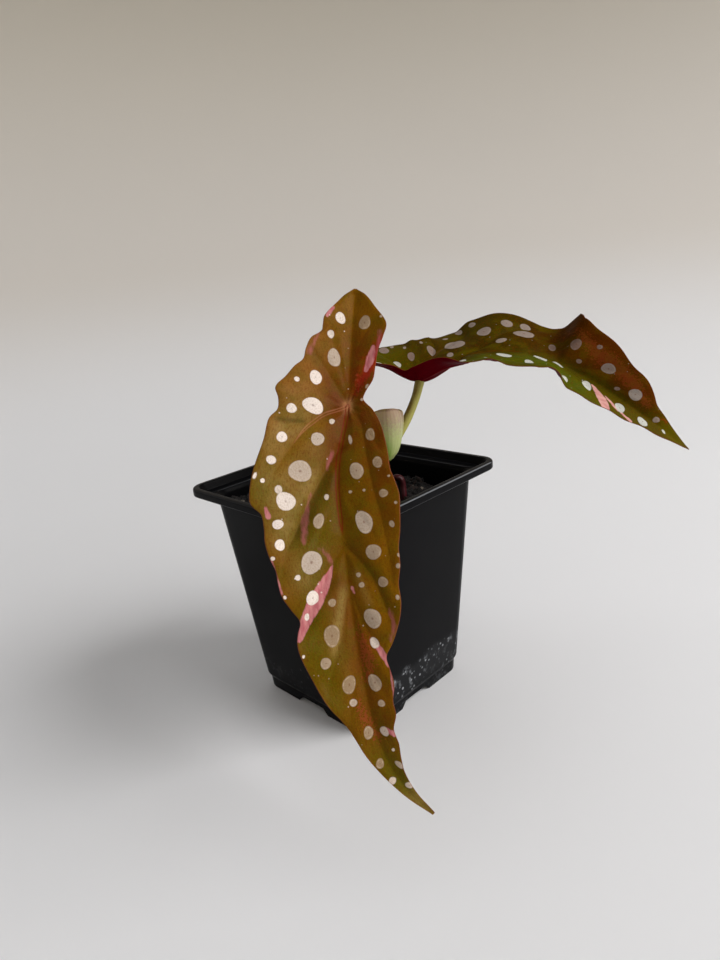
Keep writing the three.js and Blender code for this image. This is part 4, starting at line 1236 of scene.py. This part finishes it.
class BEGONIA_OT_stalks(bpy.types.Operator):
    """Build the two leaf stalks"""

    bl_idname = "begonia.stalks"
    bl_label = "Leaf stalks"

    def execute(self, context):
        settings = context.scene.begonia_stalks
        finish = stalk_finish("olive_stalk", settings.stalk, settings.blush, 0.95, 0.35)
        for name, points, node in (("stalk_front", PETIOLE_FRONT, "petiole_front"),
                                   ("stalk_side", PETIOLE_SIDE, "petiole_side")):
            # The flush darkens the stalks' side away from the key light, partly painted shade.
            stalk_piece(name, stalk_rings(points, groove=0.16), finish, node,
                        (-0.75, 0.6, 0.1))
        return {"FINISHED"}


class BEGONIA_OT_shoot(bpy.types.Operator):
    """Build the small dark red shoot beside the cane"""

    bl_idname = "begonia.shoot"
    bl_label = "Red shoot"

    def execute(self, context):
        settings = context.scene.begonia_stalks
        # Its lighter red is painted on the side towards the key light, a painted highlight.
        finish = stalk_finish("red_shoot_skin", settings.shoot, srgb(84, 24, 32), 0.6, 0.2)

        def folds(s):
            return 0.16 * math.sin(0.55 * s) * math.exp(-((s - 26) / 5) ** 2)

        stalk_piece("young_shoot", rounded_end(stalk_rings(SHOOT, folds, groove=0.2)), finish,
                    "shoot", (0.6, -0.3, 0.7))
        return {"FINISHED"}


class BEGONIA_OT_sheath(bpy.types.Operator):
    """Build the pale cupped sheath round the upper node"""

    bl_idname = "begonia.sheath"
    bl_label = "Sheath"

    def execute(self, context):
        rows = with_distance(STIPULE, 3)
        height = np.linspace(0, 1, 90)
        values = smooth(rows, height * rows[-1, 0])
        turn = np.linspace(-1, 1, 96)
        t, k = np.meshgrid(height, turn, indexing="ij")
        x, y, z, radius, half = (values[:, c][:, None] for c in range(5))
        angle = np.radians(STIPULE_FACING + k * half)
        crown = STIPULE_CROWN * t**4 * np.cos(k * math.pi / 2)
        flare = 0.35 * t**6 * np.sin(5 * k + 1) + 0.5 * smoothstep(0.86, 1.0, abs(k)) * t
        veins = 0.02 * np.cos(34 * k) * smoothstep(0.05, 0.3, t)
        thin = 0.32 - 0.2 * smoothstep(0.7, 1.0, np.maximum(t, abs(k)))

        def shell(offset):
            reach = radius + flare + veins + offset
            return np.stack([x + reach * np.cos(angle), y + reach * np.sin(angle), z + crown],
                            axis=-1)

        outer, inner = shell(thin / 2 + 0.15), shell(-thin / 2 + 0.15)
        vertices, faces = slab(outer, inner)
        piece = make_piece("stipule_sheath", vertices, faces,
                           sheath_finish(context.scene.begonia_stalks), "stipule")
        store(piece, "height", t)
        store(piece, "plan", np.stack([k, t, np.zeros_like(t)], axis=-1), "FLOAT_VECTOR")
        return {"FINISHED"}


# ------------------------------------------------------------------ leaves


def midrib_frames(leaf, stations):
    """Where the midrib runs, and the two directions across it, at each station."""
    rows = with_distance(leaf["midrib"], 3, leaf["stalk_point"])
    place = smooth(rows, stations)
    inner = np.clip(stations, rows[0, 0] + 0.5, rows[-1, 0] - 0.5)
    along = unit(smooth(rows, inner + 0.5) - smooth(rows, inner - 0.5))
    up = np.zeros_like(place)
    first = int(np.argmin(abs(stations)))
    guide = np.array(leaf["facing"], float)
    up[first] = unit(guide - along[first] * (guide @ along[first]))
    for i in range(first + 1, len(stations)):
        up[i] = unit(up[i - 1] - along[i] * (up[i - 1] @ along[i]))
    for i in range(first - 1, -1, -1):
        up[i] = unit(up[i + 1] - along[i] * (up[i + 1] @ along[i]))
    return place, up, leaf["wide_side"] * np.cross(up, along)


def blade_grid(leaf):
    """The blade's middle surface, each point's place in the plan, and how far in from the
    margin it is."""
    rows = leaf["rows"]
    stations = even(rows[0][0], rows[-1][0], LEAF_STEP)
    place, up, side = midrib_frames(leaf, stations)
    wide, wide_lift, narrow, narrow_lift = smooth(rows, stations).T[:, :, None]
    q = np.linspace(-1, 1, 2 * HALF_COLUMNS + 1)[None, :]
    half = np.where(q > 0, wide, narrow)
    room = np.minimum(half / FULL_WAVE_HALF, 1)
    wide_edge, narrow_edge = (smooth(leaf[side_name], stations)
                              for side_name in ("wide_margin", "narrow_margin"))
    tooth = np.where(q > 0, wide_edge, narrow_edge) - half
    across = q * (half + tooth * smoothstep(0.2, 1.0, abs(q)))
    low, high = -np.radians(narrow_lift), np.radians(wide_lift)
    slope = low + (high - low) * smoothstep(-FOLD_ROUNDING, FOLD_ROUNDING, across)
    step = np.diff(across, axis=1)
    mean = (slope[:, 1:] + slope[:, :-1]) / 2
    sideways = np.pad(np.cumsum(step * np.cos(mean), axis=1), ((0, 0), (1, 0)))
    upward = np.pad(np.cumsum(step * np.sin(mean), axis=1), ((0, 0), (1, 0)))
    sideways -= sideways[:, HALF_COLUMNS:HALF_COLUMNS + 1]
    upward -= upward[:, HALF_COLUMNS:HALF_COLUMNS + 1]
    along = np.broadcast_to(stations[:, None], across.shape)
    swing = 2 * math.pi * along / RIPPLE_LENGTH + np.where(q > 0, 2.0, -2.0)
    ripple = room * leaf["ripple"] * abs(q) ** 3 * np.sin(swing)
    ripple = ripple + TOOTH_CURL * room * abs(q) ** 6 * np.clip(tooth, -1, 1)
    depth, width = leaf["dimple"]
    sink = depth * np.exp(-(along**2 + across**2) / width**2)
    grid = (place[:, None] + side[:, None] * sideways[..., None]
            + up[:, None] * (upward + ripple - sink)[..., None])
    edge = np.minimum((1 - abs(q)) * np.maximum(half + tooth, 0.3),
                      np.minimum(along - stations[0], stations[-1] - along))
    return grid, along, across, edge


def grid_normals(grid, wide_side):
    down = np.gradient(grid, axis=0)
    across = np.gradient(grid, axis=1)
    return wide_side * unit(np.cross(down, across))


def vein_marks(along, across):
    """At each place of the plan, the depth of the creases, the strength of the ribs, and the
    distance to the nearest vein that is coloured dark or pale."""
    marks = {"crease": 0.0, "rib": 0.0, "dark": 9.0, "pale": 9.0}
    for depth, strength, colour, line in VEINS:
        distance, progress, _ = plan_distance(along, across, line)
        fade = 1 - 0.75 * smoothstep(0.6, 1.0, progress)
        profile = np.exp(-np.sqrt(distance**2 + 0.06) / CREASE_WIDTH)
        marks["crease"] = np.maximum(marks["crease"], depth * fade * profile)
        slim = RIB_HALF * (0.55 + 0.65 * strength * (1 - progress))
        ridge = strength * fade * np.exp(-((distance / slim) ** 2))
        marks["rib"] = np.maximum(marks["rib"], ridge)
        if colour:
            ending = 2 * smoothstep(0.3 if colour == "pale" else 0.75, 1.0, progress)
            marks[colour] = np.minimum(marks[colour], distance + ending)
    return marks


def patches(along, across, lines):
    """Signed distance into the nearest of several patches, in millimetres."""
    inside = np.full(along.shape, -9.0)
    for line in lines:
        distance, _, half = plan_distance(along, across, line)
        inside = np.maximum(inside, half - distance)
    return inside


def spot_marks(along, across, spots):
    """Signed distance into the nearest spot, how near its heart each place is, and how
    silvery that spot is, which also paints its sheen and shade."""
    inside = np.full(along.shape, -9.0)
    heart = np.zeros(along.shape)
    silver = np.zeros(along.shape)
    for k, (u, v, length, width, lit_share) in enumerate(spots):
        lean = math.copysign(SPOT_LEAN, u * v) if length > width else 0.0
        du = ((along - u) * math.cos(lean) + (across - v) * math.sin(lean)) / length
        dv = ((across - v) * math.cos(lean) - (along - u) * math.sin(lean)) / width
        angle = np.arctan2(dv, du)
        uneven = 1 + 0.045 * np.sin(2 * angle + k) + 0.035 * np.sin(3 * angle + 2.3 * k)
        share = np.hypot(du, dv) * uneven
        depth = (1 - share) * min(length, width)
        silver = np.where(depth > inside, lit_share, silver)
        inside = np.maximum(inside, depth)
        heart = np.maximum(heart, 1 - share)
    return {"spot": inside, "heart": heart, "silver": silver}


def washed(along, across, washes, shading_bands, settings):
    """The upper face's colour before its marks, as washes and bands laid one over another. Some
    washes and most bands paint sheen and shade.
    """
    main, *rest = washes
    layers = []
    for name, u, v, reach_u, reach_v, strength in rest:
        spread = ((along - u) / reach_u) ** 2 + ((across - v) / reach_v) ** 2
        layers.append((name, strength * np.exp(-0.8 * spread)))
    for name, strength, half, line in shading_bands:
        distance, progress, _ = plan_distance(along, across, line)
        ends = smoothstep(0, 0.2, progress) * smoothstep(1, 0.8, progress)
        layers.append((name, strength * ends * np.exp(-((distance / half) ** 2))))
    colour = np.broadcast_to(np.array(getattr(settings, main)), (*along.shape, 3))
    for name, share in layers:
        share = share[..., None]
        colour = colour * (1 - share) + np.array(getattr(settings, name)) * share
    return colour


def make_leaf(name, node, leaf, finish, settings):
    """A blade with two quilted faces round one middle surface, and its marks."""
    grid, along, across, edge = blade_grid(leaf)
    veins = vein_marks(along, across)
    dots = spot_marks(along, across, leaf["spots"])
    radius, turn = np.hypot(along, across), np.arctan2(across, along)
    wrinkles = np.cos(13 * turn + 1.5 * np.sin(2 * turn)) * np.exp(-(((radius - 3) / 2.2) ** 2))
    quilt = SWELL * np.sin(0.42 * along + 1) * np.sin(0.55 * across + 2)
    quilt += FINE_SWELL * np.sin(1.1 * along - 0.7 * across) * np.sin(0.9 * across + 0.5)
    quilt += WRINKLE * wrinkles - settings.crease * veins["crease"]
    quilt += SPOT_RISE * smoothstep(-0.2, 0.4, dots["spot"])
    quilt *= smoothstep(0, 3.0, edge + 0.6)
    quilt += STALK_KNOB * np.exp(-(radius**2) / 2.2)
    middle = grid + grid_normals(grid, leaf["wide_side"]) * quilt[..., None]
    normals = grid_normals(middle, leaf["wide_side"])
    half = 0.5 * settings.thickness / MM
    half = half * (THIN_EDGE + (1 - THIN_EDGE) * smoothstep(0, 1.5, edge))
    ribbing = RIB_DEPTH * veins["rib"] * smoothstep(0, 2.0, edge)
    upper = middle + normals * half[..., None]
    lower = middle - normals * (half + ribbing)[..., None]
    vertices, faces = slab(upper, lower)
    piece = make_piece(name, vertices, faces, finish, node)
    marks = {"rib": veins["rib"], "dark_line": veins["dark"], "pale_line": veins["pale"],
             "edge": edge, **dots, "under": np.repeat([0.0, 1.0], along.size)}
    for mark in ("pink", "blush", "red", "stipple"):
        marks[mark] = patches(along, across, leaf[mark])
    for mark, values in marks.items():
        store(piece, mark, values)
    store(piece, "plan", np.stack([along, across, np.zeros_like(along)], axis=-1),
          "FLOAT_VECTOR")
    wash = washed(along, across, leaf["washes"], leaf["shading_bands"], settings)
    store(piece, "wash", np.pad(wash, ((0, 0), (0, 0), (0, 1)), constant_values=1.0),
          "FLOAT_COLOR")


class BEGONIA_OT_leaves(bpy.types.Operator):
    """Build the two lopsided spotted leaves"""

    bl_idname = "begonia.leaves"
    bl_label = "Leaves"

    def execute(self, context):
        settings = context.scene.begonia_leaves
        # Each leaf's silver and dull spot tones; the dull one partly paints the spots' shade.
        front = {"silver": settings.silver, "shaded_dull": settings.shaded_dull_silver,
                 "pink": settings.pink, "light_pink": srgb(194, 126, 126),
                 "rim": srgb(226, 204, 176), "lines": 0.85, "stipple": 0.55, "gloss": 1.13}
        side = {"silver": srgb(196, 200, 194), "shaded_dull": srgb(118, 96, 88),
                "pink": srgb(190, 128, 124), "light_pink": srgb(208, 156, 148),
                "rim": srgb(170, 160, 140), "lines": 0.2, "stipple": 0.3, "gloss": 1.06}
        make_leaf("blade_front", "leaf_front", LEAF_FRONT,
                  leaf_finish("spotted_front_blade", settings, front), settings)
        make_leaf("blade_side", "leaf_side", LEAF_SIDE,
                  leaf_finish("spotted_side_blade", settings, side), settings)
        return {"FINISHED"}


# ------------------------------------------------------------------ stage


def looking(direction):
    """The turn that points a light or a camera along a direction."""
    return Vector(direction).to_track_quat("-Z", "Y")


def aimed_object(name, data, place, turn):
    made = plain_object(name, data)
    made.location = place
    made.rotation_mode = "QUATERNION"
    made.rotation_quaternion = turn
    return made


def soft_light(name, place, width, power, tint):
    """A round area light that the camera doesn't see, aimed at the lit point."""
    light = bpy.data.lights.new(name, "AREA")
    light.shape = "DISK"
    light.size = width
    light.energy = power
    light.color = tint
    lamp = aimed_object(name, light, place, looking(Vector(LIT_POINT) - Vector(place)))
    lamp.visible_camera = False


def paper_finish(settings):
    """Matt pale paper, slightly warmer and darker where it rises, which is painted shade."""
    f = Finish("pale_paper")
    where = f.place()
    height = f.split(where, 2)
    tone = f.step(f.noise(where, 3.0, 3.0), 0.2, 0.8, 0.0, 0.04)
    # Painted shade: the rising paper is made darker and warmer than the floor near the pot.
    pale = f.mix(f.step(height, 0.0, 0.2), settings.backdrop, srgb(212, 207, 201))
    pale = f.mix(f.step(height, 0.1, 0.9), pale, srgb(207, 200, 187))
    return f.surface(Base_Color=f.mix(tone, pale, srgb(190, 188, 184)), Roughness=0.95,
                     Specular_IOR_Level=0.1)


class BEGONIA_OT_stage(bpy.types.Operator):
    """Set the floor, the backdrop, the soft lights and the camera"""

    bl_idname = "begonia.stage"
    bl_label = "Stage"

    def execute(self, context):
        settings = context.scene.begonia_stage
        angles = np.linspace(0, 2 * math.pi, BOWL_SIDES, endpoint=False)
        rings = []
        for r in [0.001, 0.15, *np.linspace(FLAT_RADIUS, BOWL_RADIUS, 30)]:
            z = BOWL_CURVE * max(0.0, r - FLAT_RADIUS) ** 2
            rings.append(np.column_stack([r * np.cos(angles), r * np.sin(angles),
                                          np.full(BOWL_SIDES, z)]))
        paper = make_mesh("floor", np.concatenate(rings),
                          strips(len(rings), BOWL_SIDES, closed=True))
        paper.shade_smooth()
        floor = plain_object("floor", paper)
        paper.materials.append(paper_finish(settings))

        for name, (place, width, tint) in LIGHTS.items():
            soft_light(name, place, width, getattr(settings, name), tint)
        world = bpy.data.worlds.new("room")
        world.use_nodes = True
        room = world.node_tree.nodes["Background"].inputs
        room[0].default_value = (ROOM_GREY, ROOM_GREY, ROOM_GREY, 1)
        room[1].default_value = ROOM_LIGHT
        context.scene.world = world
        context.scene.view_settings.view_transform = "Standard"

        data = bpy.data.cameras.new("camera")
        data.lens = CAMERA_LENS
        data.sensor_width = CAMERA_SENSOR
        roll = Quaternion((0, 0, 1), math.radians(CAMERA_ROLL))
        context.scene.camera = aimed_object("camera", data, to_frame(CAMERA_PLACE),
                                            looking(CAMERA_FORWARD) @ roll)
        return {"FINISHED"}


class BEGONIA_PT_panel(bpy.types.Panel):
    """Lists the pieces of the plant, its pot and its stage"""

    bl_idname = "BEGONIA_PT_panel"
    bl_label = "Potted Begonia"
    bl_space_type = "VIEW_3D"
    bl_region_type = "UI"
    bl_category = "Begonia"

    def draw(self, context):
        for operator in OPERATORS:
            self.layout.operator(operator.bl_idname)
        for name in SETTINGS:
            values = getattr(context.scene, name)
            for key in values.bl_rna.properties.keys():
                if key not in ("rna_type", "name"):
                    self.layout.prop(values, key)


SETTINGS = {
    "begonia_pot": BegoniaPotSettings,
    "begonia_soil": BegoniaSoilSettings,
    "begonia_stalks": BegoniaStalkSettings,
    "begonia_leaves": BegoniaLeafSettings,
    "begonia_stage": BegoniaStageSettings,
}
OPERATORS = (BEGONIA_OT_stage, BEGONIA_OT_pot, BEGONIA_OT_soil, BEGONIA_OT_cane,
             BEGONIA_OT_stalks, BEGONIA_OT_sheath, BEGONIA_OT_shoot, BEGONIA_OT_leaves)


def register():
    for name, group in SETTINGS.items():
        bpy.utils.register_class(group)
        setattr(bpy.types.Scene, name, PointerProperty(type=group))
    for operator in OPERATORS:
        bpy.utils.register_class(operator)
    bpy.utils.register_class(BEGONIA_PT_panel)


def unregister():
    bpy.utils.unregister_class(BEGONIA_PT_panel)
    for operator in reversed(OPERATORS):
        bpy.utils.unregister_class(operator)
    for name, group in reversed(SETTINGS.items()):
        delattr(bpy.types.Scene, name)
        bpy.utils.unregister_class(group)


def main():
    register()
    for operator in OPERATORS:
        group, name = operator.bl_idname.split(".")
        getattr(getattr(bpy.ops, group), name)()
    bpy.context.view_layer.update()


if __name__ == "__main__":
    main()
